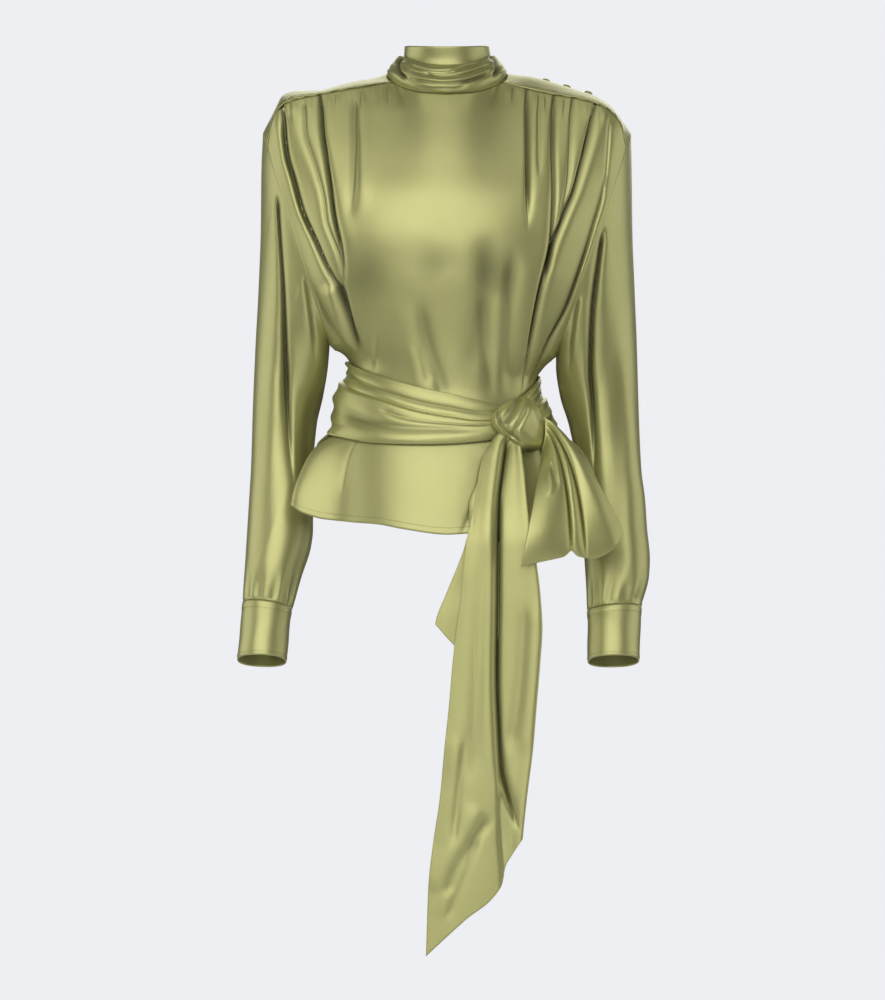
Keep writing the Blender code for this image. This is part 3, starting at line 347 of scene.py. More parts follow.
# front and back
frontCloth = {
    "wall": 1.2, "columns": 189, "rows": (136, 46), "flat": (0.56, 0.42), "area": 0.18,
    "peplumFlat": (0.44, 0.14),
    # where the cloth is tucked under each yoke, out from the middle
    "tucks": {"left": (80, 92, 103, 111, 118, 126, 132, 141, 150, 160, 169, 176, 183, 190, 198),
              "right": (74, 82, 90, 97, 105, 112, 119, 127, 135, 144, 153, 162, 171, 180, 188, 197)},
    "tuckHeight": 4.4, "tuckWidth": 4.6, "tuckLength": (14, 34),
    # side, width, height, path seen from the front: slits between smooth stretches of cloth
    "creases": [
        (1, 9, 9, [(-197, -8), (-194, -50), (-190, -77), (-183, -101), (-172, -142), (-157, -178),
                   (-144, -209), (-123, -250), (-108, -312)]),
        (1, 7, 4, [(-171, -12), (-170, -44), (-164, -67), (-155, -95), (-147, -128), (-144, -154),
                   (-128, -201), (-122, -240)]),
        (-1, 9, 9, [(-153, 0), (-151, -41), (-145, -83), (-140, -118), (-136, -149), (-128, -186),
                    (-120, -236)]),
        (1, 5, 2.5, [(-208, -60), (-206, -100), (-199, -140), (-188, -178)]),
        (-1, 8, 7, [(96, 16), (96, -35), (96, -95), (96, -170)]),
        (1, 7, 3, [(110, 12), (109, -47), (109, -105)]),
        (1, 8, 7, [(129, 10), (127, -71), (128, -118), (124, -190), (114, -240)]),
        (-1, 7, 3.5, [(151, 8), (147, -59), (145, -98), (139, -136), (130, -160)]),
        (-1, 9, 9, [(180, -2), (169, -53), (160, -88), (152, -118), (140, -148), (124, -190),
                    (111, -237), (101, -288), (94, -332), (88, -368)]),
        (-1, 5, 2.6, [(194, -24), (191, -71), (187, -118)]),
    ],
    # slits that begin and end in open cloth
    "pulls": [
        (-1, 9, 8, [(187, -92), (184, -123), (174, -160), (157, -213), (140, -261),
                    (123, -296), (107, -329), (91, -366)]),
        (-1, 6, 4, [(176, -196), (167, -240), (152, -288), (140, -318)]),
    ],
    "folds": [
        (-1, 10, 3, [(-107, 4), (-107, -30), (-106, -60), (-107, -108), (-112, -160)]),
        (1, 9, 6, [(-135, -225), (-128, -250), (-118, -285), (-106, -318)]),
        (1, 9, 4, [(-186, -170), (-172, -215), (-152, -262), (-130, -298), (-112, -322)]),
        (1, 26, 2.0, [(38, -160), (34, -225), (24, -285), (14, -345)]),
        (1, 17, 2.4, [(-44, -240), (-31, -300), (-17, -345), (-8, -376)]),
        (-1, 15, 1.8, [(50, -235), (54, -300), (60, -372)]),
        (1, 8, 0.9, [(-38, -300), (-31, -325), (-24, -352)]),
        (1, 4, 0.7, [(-86, -288), (-87, -312), (-88, -336)]),
        (-1, 16, 2.0, [(88, -180), (82, -255), (80, -315), (84, -372)]),
    ],
    # x, z, width, height, depth of each broad dent
    "dents": [(-12, -211, 24, 22, 2.1), (62, -217, 30, 26, 2.2), (-100, -221, 30, 28, 2.0),
              (-50, -300, 40, 40, 1.5)],
    "flutes": [
        (1, 6, 8, [(-132, -398), (-149, -420), (-162, -450), (-168, -492)]),
        (1, 6, 8, [(-126, -400), (-139, -428), (-149, -462), (-153, -500)]),
        (1, 9, 2, [(-104, -405), (-116, -440), (-122, -490)]),
        (-1, 20, 3.0, [(52, -432), (38, -478), (12, -540)]),
        (-1, 9, 5, [(104, -405), (116, -440), (124, -480), (128, -534)]),
        (-1, 8, 6, [(128, -402), (146, -432), (158, -466), (164, -528)]),
    ],
}
backCloth = {
    "wall": 1.2, "columns": 135, "rows": (100, 34), "flat": (0.56, 0.42), "area": 0.17,
    "peplumFlat": (0.42, 0.12),
    "tucks": {"left": (72, 84, 95, 107, 118, 128, 140, 152, 163, 174, 186),
              "right": (70, 82, 96, 106, 118, 130, 141, 150, 164, 176, 187)},
    "tuckHeight": 2.2, "tuckWidth": 4.0, "tuckLength": (20, 52),
    "pulls": [
        (1, 12, 7, [(-190, -6), (-184, -70), (-170, -130), (-146, -205), (-112, -305)]),
        (1, 12, 5, [(-150, 30), (-140, -60), (-128, -130), (-112, -220), (-96, -318)]),
        (1, 11, 4, [(-114, 30), (-108, -60), (-102, -120)]),
        (-1, 12, 7, [(189, -6), (182, -80), (170, -140), (144, -215), (108, -316)]),
        (-1, 12, 5, [(138, 30), (130, -70), (120, -150), (108, -230), (92, -326)]),
        (-1, 11, 4, [(164, 20), (154, -80), (140, -150), (126, -200)]),
        (1, 9, 3, [(-168, -210), (-140, -262), (-116, -306)]),
        (-1, 9, 3, [(162, -220), (136, -272), (114, -318)]),
    ],
    "folds": [
        (1, 16, 3.5, [(-80, -20), (-74, -140), (-62, -260), (-50, -335)]),
        (-1, 16, 3.5, [(82, -30), (76, -150), (60, -270), (46, -335)]),
        (1, 15, 3, [(-22, -180), (-20, -260), (-14, -335)]),
        (-1, 13, 3, [(24, -230), (22, -290), (20, -335)]),
    ],
    "dents": [(-30, -150, 40, 60, 2.5), (34, -190, 36, 50, 2.0)],
    "flutes": [
        (1, 14, 6, [(-106, -405), (-114, -440), (-118, -480), (-120, -525)]),
        (1, 15, 6, [(-50, -405), (-54, -440), (-56, -480), (-57, -525)]),
        (1, 12, 3, [(-8, -410), (-9, -460), (-10, -525)]),
        (-1, 15, 6, [(46, -405), (50, -440), (52, -480), (53, -525)]),
        (-1, 14, 6, [(102, -405), (110, -440), (114, -480), (116, -525)]),
    ],
}


# both panels: heights in millimetres, ends and edges as shares
panelShape = {
    "broadTurns": (277, 190), "smallTurns": (104, 96),  # how far down the top edge's course reaches, z and y
    "seamLean": 100, "holeShare": 0.7, "edgeFade": 0.93, "hemFrom": 420,
    "bloused": (-362, 24, 6),  # z, height and depth of the hollow over the sash, front only
    "foldsStop": (-384, -366), "flutesStart": (392, 404),
    "ridgeRise": 12, "slitRise": (0.3, 26),  # from the seam down
    # ends and sharpness of each kind of fold
    "kinds": {"folds": ((0.2, 0.25), 0.0), "creases": ((0.015, 0.25), 1.0), "pulls": ((0.2, 0.3), 0.85)},
    "tucks": ((0.02, 0.75), 0.5), "flutes": ((0.1, 0.3), 0.8),
    "seamGap": 0.3,
}


def calmed(row):
    # a smoothed copy of the half panel's top edge, level at the middle
    line = np.concatenate([row[0, :0:-1], row[0], np.full(60, row[0, -1])])
    width = row.shape[1] // 4
    kernel = np.hanning(2 * width + 1)
    smoothed = np.convolve(np.pad(line, width, mode="edge"), kernel / kernel.sum(), mode="valid")
    start = row.shape[1] - 1
    smooth = smoothed[start:start + row.shape[1]][None, :]
    return smooth + (row - smooth) * np.linspace(0, 1, row.shape[1]) ** 8


def tuckFolds(look, side, back):
    # a short narrow fold below each tuck, its length uneven
    sign = 1 if side == "left" else -1
    short, long = look["tuckLength"]
    folds = []
    for i, x in enumerate(look["tucks"][side]):
        reach = short + (long - short) * abs(math.sin(2.4 * i + (0.7 if side == "left" else 1.9)))
        z = float(topEdge(side, back, float(x))[1])
        height = look["tuckHeight"] * (0.75 + 0.35 * math.cos(1.7 * i))
        pull = 0.10 * reach
        folds.append((sign, look["tuckWidth"], height, [
            (sign * x, z + 12), (sign * (x - 0.3 * pull), z - 0.35 * reach),
            (sign * (x - pull), z - reach)]))
    return folds


def halfPanel(side, back, look):
    sign, facing = (1 if side == "left" else -1), (1 if back else -1)
    which = 2 if back else 1
    above, below = look["rows"]
    gap = panelShape["seamGap"]
    zRows = np.concatenate([np.linspace(body["yokeEnd"], body["waistSeam"] + gap, above),
                            np.linspace(body["waistSeam"] - gap, body["sideHem"], below)])
    edge = sideEdge(side, back, zRows)
    underarm = body["armhole"][side][1]
    corner = abs(edge[0, 0])
    columns = np.linspace(0, corner, look["columns"] + 1)
    seamY = np.where(edge[:, 2] > underarm[2], underarm[1], edge[:, 1])[:, None]
    edgeX = np.abs(edge[:, 0])[:, None]
    lack = np.abs(edge[:, 1:2] - seamY) / tableCurve(body["depth"], edge[:, 2:], which)
    reach = edgeX / bodySection(lack)
    limit = np.arcsin((edgeX / reach) ** (body["roundness"] / 2))
    u = (np.arcsin((columns / reach[0]) ** (body["roundness"] / 2)) / limit[0])[None, :]
    u = np.minimum(u, 1.0)
    x = np.sin(u * limit) ** (2 / body["roundness"]) * reach
    flat = x / edgeX
    yTop, zTop = topEdge(side, back, flat[:1] * edgeX[0])
    yCalm, zCalm = calmed(yTop), calmed(zTop)  # the cloth forgets the seam's small turns soon
    low = tableCurve(body["hemBack" if back else "hemFront"], sign * flat)
    level = edge[:, 2:]
    broadZ, broadY, smallZ, smallY, nearSeam = [
        1 - easeStep(-zRows[0], end, -level)
        for end in (*panelShape["broadTurns"], *panelShape["smallTurns"], panelShape["seamLean"])]
    z = level + (zCalm - zRows[0]) * broadZ
    z = z + (zTop - zCalm) * smallZ
    z = z + (low - zRows[-1]) * easeStep(panelShape["hemFrom"], -zRows[-1], -level)
    depth = tableCurve(body["depth"], z, which)
    depth = depth + (tableCurve(body["depth"], level, which) - depth) * flat**6
    kernel = np.hanning(27) / np.hanning(27).sum()
    calmReach, calmSeam = [np.convolve(np.pad(line[:, 0], 13, mode="edge"), kernel, mode="valid")[:, None]
                           for line in (reach, seamY)]  # the underarm's step stays at the edge
    y = calmSeam + (seamY - calmSeam) * flat**5
    y = y + facing * depth * bodySection(x / (calmReach + (reach - calmReach) * flat**5))
    first = y[:1]
    calmFirst = calmed(first)
    y = y + (yCalm - calmFirst) * broadY
    y = y + (yTop - yCalm + calmFirst - first) * smallY
    if not back:
        hollowZ, hollowTall, hollowDeep = panelShape["bloused"]
        y = y + hollowDeep * hump(z - hollowZ, hollowTall) * (1 - flat**4)
    points = np.stack([sign * x, y, z], -1)
    core = np.stack([sign * x * 0.35, np.broadcast_to(seamY, x.shape), z], -1)
    inward = unitRows(core - points)
    byHole = (easeStep(panelShape["holeShare"], 1.0, u) * easeStep(-8, 0, level - underarm[2]))[..., None]
    inward = unitRows(inward * (1 - byHole) + armholeInward(side, points) * byHole)
    push = inward  # the folds sink straight back, also under the seam
    bySeam = nearSeam[..., None] * np.ones(points.shape)
    inward = unitRows(inward * (1 - bySeam) + seamInward(side, back, points) * bySeam)
    drop = zTop - z
    relief = allFolds(x * sign, z, look, panelShape["kinds"])
    relief = relief + foldRelief(x * sign, z, tuckFolds(look, side, back), *panelShape["tucks"])
    for x0, z0, wide, tall, deep in look["dents"]:
        relief = relief - deep * hump(x * sign - x0, wide) * hump(z - z0, tall)
    awayFromEdge = 1 - easeStep(panelShape["edgeFade"], 1.0, u)
    relief = relief * easeStep(*panelShape["foldsStop"], z) * awayFromEdge
    flutes = foldRelief(x * sign, z, look["flutes"], *panelShape["flutes"])
    flutes = flutes * easeStep(*panelShape["flutesStart"], -z) * awayFromEdge
    # painted shade: the depth of the slits and flutes darkens the cloth's colour there
    creaseShade = slitShade(relief + flutes)
    atSeam, fullDepth = panelShape["slitRise"]
    start = easeStep(-1, 3, drop) * (atSeam + (1 - atSeam) * easeStep(0, fullDepth, drop))
    relief = relief * np.where(relief > 0, easeStep(0, panelShape["ridgeRise"], drop), start) + flutes
    points = points - push * relief[..., None]
    if not back:
        points = points + cornerFlare(sign * np.broadcast_to(u, x.shape), z)
    points[..., 1] += facing * gap / 2 * easeStep(0.9, 1.0, u)
    points[0, :, 2] -= gap
    return points, inward, creaseShade


def bodyPanel(back):
    look = backCloth if back else frontCloth
    right, left = halfPanel("right", back, look), halfPanel("left", back, look)
    points, inward, creaseShade = [np.concatenate([a[:, :0:-1], b], axis=1) for a, b in zip(right, left)]
    cut = look["rows"][0]
    upper = clothShell("backPanel" if back else "frontPanel", points[:cut], inward[:cut], look["wall"],
                       creaseShade=creaseShade[:cut])
    lower = clothShell("peplumBack" if back else "peplumFront", points[cut:], inward[cut:], look["wall"],
                       creaseShade=creaseShade[cut:])
    hem = stitchLook["hemRow"]
    return upper, lower, points[hem] - inward[hem] * stitchLook["proud"]


# yokes
yokeCloth = {
    "wall": 1.2, "columns": 72, "rows": 27, "flat": (0.155, 0.1),
    "lip": 0.9, "pull": 0.5, "soft": 0.7,  # heights of the turned-in edge, its puckers and the slow wave
    "crowding": 1.8,  # columns draw together towards the armhole
    "nearNeck": 0.17, "nearTip": 0.72,  # shares along within which the ends are fitted
    "neckAngle": (90, 24), "neckGap": 0.4,  # degrees round the neck seam at the middle, and to each edge
}


def yokeLevel(row, side, across):
    heights = (2, 5) if side == "left" else (3, 6)
    front, ridge, rear = [np.stack([row[0], row[y], row[z]], -1)
                          for y, z in ((1, heights[0]), (4, heights[1]), (7, 8))]
    share = across[..., None]
    middle = (front + rear) / 2
    return middle + share * (rear - front) / 2 + (ridge - middle) * (1 - np.abs(share) ** 2.2)


def yokeSurface(side, along, across):
    look = yokeCloth
    front, rear = yokeCorner(side, False), yokeCorner(side, True)
    table = body["yoke"] + [(abs(front[0]), front[1], front[2], front[2], *body["yokeTip"], rear[1], rear[2])]
    x = table[0][0] + (table[-1][0] - table[0][0]) * (1 - (1 - along) ** look["crowding"])
    points = yokeLevel([x] + [tableCurve(table, x, k) for k in range(1, 9)], side, across)
    middle, swing = look["neckAngle"]
    neck = np.stack([tableCurve(body["neckSeam"], middle + swing * across, k) for k in (1, 2, 3)], -1)
    neck = neck + np.array([look["neckGap"], 0, 0])
    nearNeck = (1 - easeStep(0, look["nearNeck"], along))[..., None]
    points = points + (neck - yokeLevel(table[0], side, across)) * nearNeck
    tip = armholePoint(side, -across * armholeAngle(side, body["yokeEnd"]))
    tip = np.abs(tip[..., :1]) * np.array([1, 0, 0]) + tip * np.array([0, 1, 1])
    nearTip = easeStep(look["nearTip"], 1.0, along)[..., None]
    points = points + (tip - yokeLevel(table[-1], side, across)) * nearTip
    return points * np.array([1 if side == "left" else -1, 1, 1])


def yokePiece(side):
    look = yokeCloth
    along, across = np.meshgrid(np.linspace(0, 1, look["columns"] + 1), np.linspace(-1, 1, look["rows"] + 1))
    points = yokeSurface(side, along, across)
    share = (across[..., None] + 1) / 2
    inward = unitRows(seamInward(side, False, points) * (1 - share) + seamInward(side, True, points) * share)
    edgeRise = look["lip"] * hump(1 - np.abs(across), 0.16)  # the turned-in seam allowance
    pull = look["pull"] * np.sin(along * 70) * hump(1 - np.abs(across), 0.12) * easeStep(0.1, 0.3, along)
    soft = look["soft"] * np.sin(along * 9 + 3 * across) * (1 - across**2)
    points = points - inward * (edgeRise + pull + soft)[..., None]
    lines = [(points[k] - inward[k] * stitchLook["proud"])[2:-1] for k in stitchLook["yokeRows"]]
    return clothShell("yoke" + side.title(), points, inward, look["wall"], stride=1), lines


# sleeves
sleeveCloth = {
    "wall": 1.2, "around": 189, "rows": 223, "flat": (0.34, 0.57), "area": 0.14,
    # z, right, left
    "outer": [(-47, 221, 221), (-90, 223, 222), (-162, 224, 223), (-234, 227, 226), (-306, 231, 229),
              (-378, 234, 231), (-450, 236, 234), (-486, 238, 238), (-522, 240, 240), (-558, 242, 243),
              (-576, 243, 242), (-609, 244, 233)],
    "inner": [(-301, 141, 131), (-324, 143, 131), (-360, 149, 136), (-396, 157, 147), (-450, 161, 157),
              (-522, 161, 163), (-540, 163, 164), (-576, 174, 166), (-617, 186, 168)],
    # outer right, outer left, inner right, inner left, half depth, y, lean
    "rings": [(-47, -47, -301, -314, 66, 8, 0), (-105, -105, -311, -323, 64, 14, 0),
              (-175, -175, -325, -335, 60, 21, 1), (-250, -250, -347, -355, 56, 30, 2),
              (-320, -320, -380, -385, 52, 35, 4), (-390, -391, -424, -427, 49, 33, 7),
              (-455, -457, -476, -478, 47, 24, 9), (-515, -518, -526, -527, 46, 12, 11),
              (-560, -564, -568, -569, 43, 0, 12), (-590, -595, -598, -599, 38, -8, 13),
              (-609, -615, -617, -619, 34, -13, 13)],
    # side, width, height, path of percent down and degrees round
    "creases": {
        "right": [(1, 13, 8, [(1, 62), (14, 70), (30, 82), (48, 98), (66, 116)]),
                  (1, 10, 4, [(2, 104), (14, 118), (28, 134)]),
                  (-1, 12, 5, [(6, 250), (24, 236), (44, 220)])],
        "left": [(1, 13, 8, [(1, 80), (14, 90), (30, 100), (48, 112), (62, 124)]),
                 (1, 10, 4, [(2, 112), (16, 124), (30, 138)]),
                 (-1, 12, 5, [(6, 250), (24, 236), (44, 220)])],
    },
    "folds": {
        "right": [(1, 34, 2.6, [(40, 112), (60, 122), (80, 126), (102, 124)]),
                  (1, 30, 3, [(10, 300), (34, 282), (58, 268), (80, 260)])],
        "left": [(1, 34, 2.5, [(34, 50), (56, 62), (78, 76), (102, 86)]),
                 (1, 30, 3, [(12, 296), (36, 280), (60, 266), (82, 258)])],
    },
    "puckers": 13, "puckerHeight": 0.9, "puckersFrom": (0.8, 0.95),
    "headShare": 0.22,  # how far down the sleeve keeps the armhole's form
    "kinds": {"folds": ((0.25, 0.25), 0.0), "creases": ((0.08, 0.4), 1.0)},
}


def ringPoints(centre, half, deep, turn):
    out = signedPower(np.cos(turn), 2 / body["roundness"])[:, None]
    front = signedPower(np.sin(turn), 2 / body["roundness"])[:, None]
    return centre + out * half + front * deep


def sleeveRing(side, share):
    sign, column = (1, 2) if side == "left" else (-1, 1)
    rings = sleeveCloth["rings"]
    steps = np.linspace(0, 1, len(rings))
    row = [float(tableCurve(list(zip(steps, [r[k] for r in rings])), share)) for k in range(7)]
    zOuter, zInner, halfDepth, y = row[column - 1], row[column + 1], row[4], row[5]
    outer = np.array([sign * tableCurve(sleeveCloth["outer"], zOuter, column), y, zOuter])
    inner = np.array([sign * tableCurve(sleeveCloth["inner"], zInner, column), y, zInner])
    lean = math.radians(row[6])
    deep = np.array([0, -math.cos(lean), math.sin(lean)]) * halfDepth
    return (outer + inner) / 2, (outer - inner) / 2, deep


def sleevePiece(side):
    look = sleeveCloth
    turn = np.linspace(0, 2 * math.pi, look["around"] + 1)[:-1] + math.pi  # the seam lies under the arm
    shares = np.linspace(0, 1, look["rows"])
    hole = armholePoint(side, np.degrees(turn))
    first = ringPoints(*sleeveRing(side, 0.0), turn)
    points, inward = [], []
    for share in shares:
        centre, half, deep = sleeveRing(side, share)
        ring = ringPoints(centre, half, deep, turn)
        byHole = 1 - easeStep(0, look["headShare"], share)
        toward = unitRows(centre - ring) * (1 - byHole) + armholeInward(side, hole) * byHole
        points.append(ring + (hole - first) * byHole)
        inward.append(unitRows(toward))
    points, inward = np.array(points), np.array(inward)
    share, angle = np.meshgrid(shares, np.degrees(turn) % 360, indexing="ij")
    relief = allFolds(100 * share, angle, look, look["kinds"], side)
    relief = relief * easeStep(0, 0.06, share) * (1 - easeStep(0.9, 1, share))
    wave = np.cos(np.radians(angle) * look["puckers"] + 0.8 * np.sin(np.radians(angle) * 3))
    gathered = easeStep(*look["puckersFrom"], share) * (1 - easeStep(0.975, 1, share))
    relief = relief + look["puckerHeight"] * wave * gathered
    points = points - inward * relief[..., None]
    # painted shade: the depth of the creases and puckers darkens the sleeve's colour
    return clothShell("sleeve" + side.title(), points, inward, look["wall"], closed=True,
                      creaseShade=slitShade(relief))


# cuffs
cuffCloth = {
    "wall": 1.4, "around": 120, "rows": 31, "flat": (0.205, 0.068), "soft": 0.35, "seat": 0.3,
    "right": {"outer": ((-245, -609), (-251, -677)), "inner": ((-186, -617), (-192, -679))},
    "left": {"outer": ((233, -615), (230, -678)), "inner": ((168, -619), (168, -679))},
    # share, half depth, y, lean, swell
    "rings": [(0.0, 34.5, -13, 13, 1.0), (0.03, 34.9, -13.5, 13, 1.012), (0.1, 34.9, -14.5, 13, 1.012),
              (0.12, 34.3, -15, 13, 0.993), (0.96, 34.4, -28.2, 14, 1.004), (1.0, 34, -29, 14, 0.995)],
}


def cuffRing(side, share):
    look = cuffCloth
    row = [float(tableCurve(look["rings"], share, k)) for k in range(1, 5)]
    outer, inner = [np.array([x0 + (x1 - x0) * share, row[1], z0 + (z1 - z0) * share])
                    for (x0, z0), (x1, z1) in (look[side]["outer"], look[side]["inner"])]
    tilt = math.radians(row[2])
    deep = np.array([0, -math.cos(tilt), math.sin(tilt)]) * row[0]
    centre = (outer + inner) / 2 - np.array([0, 0, look["seat"]])
    return centre, (outer - inner) / 2 * row[3], deep


def cuffPiece(side):
    look = cuffCloth
    turn = np.linspace(0, 2 * math.pi, look["around"] + 1)[:-1] + math.pi
    points, inward = [], []
    for share in np.linspace(0, 1, look["rows"]):
        centre, half, deep = cuffRing(side, share)
        ring = ringPoints(centre, half, deep, turn)
        soft = look["soft"] * np.sin(3 * turn + 6 * share) * math.sin(math.pi * share)
        toward = unitRows(centre - ring)
        points.append(ring - toward * soft[:, None])
        inward.append(toward)
    points, inward = np.array(points), np.array(inward)
    proud = points - inward * stitchLook["proud"]
    lines = [np.concatenate([proud[k], proud[k, :1]]) for k in stitchLook["cuffRows"]]
    return clothShell("cuff" + side.title(), points, inward, look["wall"], closed=True, stride=1), lines


# collar
collarCloth = {
    "wall": 1.0, "roundness": 2.15, "seamGap": 0.3,
    "drapeGrid": (270, 61), "drapeFlat": (0.42, 0.038), "standGrid": (150, 25), "standFlat": (0.36, 0.04),
    # share, half width, front, back, z side, z front, z back
    "drape": [(0.0, 58, 54, 54, 47, 33, 50), (0.25, 64, 61, 60, 40, 26, 46),
              (0.55, 70, 67, 64, 32, 15, 41), (0.85, 73, 70, 64, 26, 3, 37)],
    "stand": [(0.0, 51, 50, 47, 58, 55, 60), (0.35, 52.5, 46.5, 48, 45, 38, 50),
              (1.0, 68.2, 61.4, 56.2, 25.5, 0, 36.5)],
    # grooves as seen from the front
    "folds": [
        (-1, 4.2, 4.2, [(-50, 37), (-32, 29), (-12, 25), (6, 26), (26, 32), (44, 38)]),
        (-1, 4.6, 5.0, [(-52, 30), (-28, 21), (-6, 18), (16, 20), (38, 28), (54, 38)]),
        (-1, 4.6, 4.8, [(-48, 19), (-26, 13), (-4, 10.5), (20, 13), (42, 21), (56, 31)]),
        (-1, 3.4, 3.0, [(-30, 25), (-16, 21), (-2, 21.5), (12, 25)]),
        (-1, 4.2, 3.2, [(-40, 9), (-18, 5), (4, 4.5), (26, 8)]),
    ],
    "upright": [
        (1, 5.0, 5.5, [(50, 44), (57, 38), (58, 28), (52, 14)]),
        (-1, 5.0, 5.5, [(-52, 42), (-58, 34), (-54, 24), (-44, 13)]),
    ],
    "backFolds": [
        (-1, 3.6, 2.4, [(-46, 45), (-20, 43), (4, 42), (28, 44), (48, 46)]),
        (-1, 3.6, 2.4, [(-52, 39), (-24, 38.5), (6, 38), (36, 39.5), (56, 41)]),
    ],
    "foldEnds": (0.2, 0.2), "uprightEnds": (0.1, 0.3), "sharp": 0.5,
    "rolls": 3.5, "rollHeight": 0.4, "sag": 0.2,  # soft rolls round the collar, lower at the front
}


def neckRing(row, turn):
    _, halfWidth, front, back, zSide, zFront, zBack = row
    forward = np.cos(turn)
    power = 2 / collarCloth["roundness"]
    x = halfWidth * signedPower(np.sin(turn), power)
    y = np.where(forward > 0, -front, back) * np.abs(forward) ** power
    z = zSide + np.where(forward > 0, zFront - zSide, zBack - zSide) * forward**2
    return np.stack([x, y, z], -1)


def neckSeamRing(turn):
    angle = np.degrees(np.arccos(np.clip(np.cos(turn), -1, 1)))
    x = tableCurve(body["neckSeam"], angle, 1) * np.sign(np.sin(turn))
    return np.stack([x, tableCurve(body["neckSeam"], angle, 2), tableCurve(body["neckSeam"], angle, 3)], -1)


def collarPiece(name, layer):
    look = collarCloth
    rings = look[layer]
    around, rows = look[layer + "Grid"]
    turn = np.linspace(0, 2 * math.pi, around + 1)[:-1] + math.pi
    last = rings[-1][0]
    seam = neckSeamRing(turn) + np.array([0, 0, look["seamGap"]])
    points = []
    for share in np.linspace(0, 1, rows):
        row = [share] + [float(tableCurve(rings, share, k)) for k in range(1, 7)]
        ring = neckRing(row, turn)
        if last < 1:
            ring = ring + (seam - ring) * easeStep(last - 0.15, 1.0, share)
        points.append(ring)
    points = np.array(points)
    toward = points.mean(axis=1, keepdims=True) - points
    toward[..., 2] = 0
    inward = unitRows(toward)
    share = np.linspace(0, 1, rows)[:, None]
    if layer == "drape":
        x, z = points[..., 0], points[..., 2]
        front = easeStep(-5, 10, -points[..., 1])
        relief = foldRelief(x, z, look["folds"], look["foldEnds"], look["sharp"]) * front
        relief = relief + foldRelief(x, z, look["upright"], look["uprightEnds"], look["sharp"]) * front
        relief = relief + foldRelief(x, z, look["backFolds"]) * easeStep(-5, 10, points[..., 1])
        sag = look["sag"] * np.cos(turn)[None, :].clip(0)
        wave = np.sin(2 * math.pi * look["rolls"] * (share - sag))
        quiet = np.sin(math.pi * share).clip(0) ** 0.7
        relief = (relief + look["rollHeight"] * wave * quiet) * (1 - easeStep(0.93, 1, share))
    else:
        relief = 0.5 * np.sin(5 * turn)[None, :] * easeStep(0, 0.3, share)
    points = points - inward * relief[..., None]
    # painted shade: the grooves darken the collar's colour, more strongly than their depth alone
    return clothShell(name, points, inward, look["wall"], closed=True, stride=1,
                      creaseShade=slitShade(1.8 * relief))


# belt
beltCloth = {
    "wall": 1.2, "around": 360, "rows": 66, "flat": (0.84, 0.068),
    "extraRows": (0.96, 0.98, 1.0, 1.01, 1.02, 1.04),  # at the outer layer's edge
    "closest": 3.2,
    # angle, top, bottom, upper edge of the outer layer
    "edges": [(0, -338, -400, -362), (60, -330, -396, -356), (120, -324, -394, -352),
              (170, -319, -395, -343), (185, -320, -397, -344), (205, -327, -408, -352),
              (235, -340, -418, -366), (262, -354, -420, -383), (285, -367, -416, -392),
              (302, -373, -409, -390), (320, -362, -406, -382), (340, -348, -403, -370),
              (360, -338, -400, -362)],
    "section": [(0.0, 4.6), (0.25, 5.8), (0.55, 4.4), (0.85, 5.2), (0.97, 4.6), (1.03, 9.4),
                (1.25, 9.9), (1.55, 8.6), (1.8, 6.8), (2.0, 4.4)],
    # side, width, height, path of degrees round and percent down
    "creases": [
        (1, 6, 2.4, [(184, 22), (206, 25), (232, 28), (258, 30), (280, 30), (300, 28)]),
        (-1, 6, 2.2, [(236, 60), (256, 64), (276, 62), (300, 56)]),
        (1, 6, 2.2, [(310, 24), (330, 32), (352, 30)]),
        (1, 7, 2.6, [(12, 20), (50, 30), (90, 26), (130, 32), (166, 22)]),
        (-1, 7, 2.6, [(8, 74), (46, 80), (88, 76), (128, 82), (168, 74)]),
        (1, 6, 2.0, [(24, 60), (62, 64), (104, 60), (146, 66)]),
    ],
    "folds": [
        (-1, 12, 2.2, [(196, 70), (220, 80), (244, 84), (270, 78), (296, 66)]),
        (1, 10, 2.0, [(306, 70), (328, 78), (350, 74)]),
        (1, 10, 2.0, [(30, 90), (70, 92), (110, 90), (150, 92)]),
    ],
    "ripples": [(182, 10, 1.3), (345, 16, 1.6)],  # crumpled where it turns the sides
    "kinds": {"folds": ((0.25, 0.25), 0.0), "creases": ((0.12, 0.2), 0.7)},
}


def waistPoint(angle, z, standOff):
    turn = np.radians(angle)
    cos, sin = np.cos(turn), np.sin(turn)
    halfWidth = np.where(cos > 0, tableCurve(body["sideSeam"], z, 2), tableCurve(body["sideSeam"], z, 1))
    depth = np.where(sin > 0, tableCurve(body["depth"], z, 2), tableCurve(body["depth"], z, 1))
    x = (halfWidth + standOff) * signedPower(cos, 2 / body["roundness"])
    y = tableCurve(body["sideSeam"], z, 3) + (depth + standOff) * signedPower(sin, 2 / body["roundness"])
    u = 1 - np.degrees(np.arccos(np.clip(np.abs(cos), 0, 1))) / 90
    flare = cornerFlare(np.sign(cos) * u, z) * (sin <= 0)[..., None]
    return np.stack([x, y, z], -1) + flare


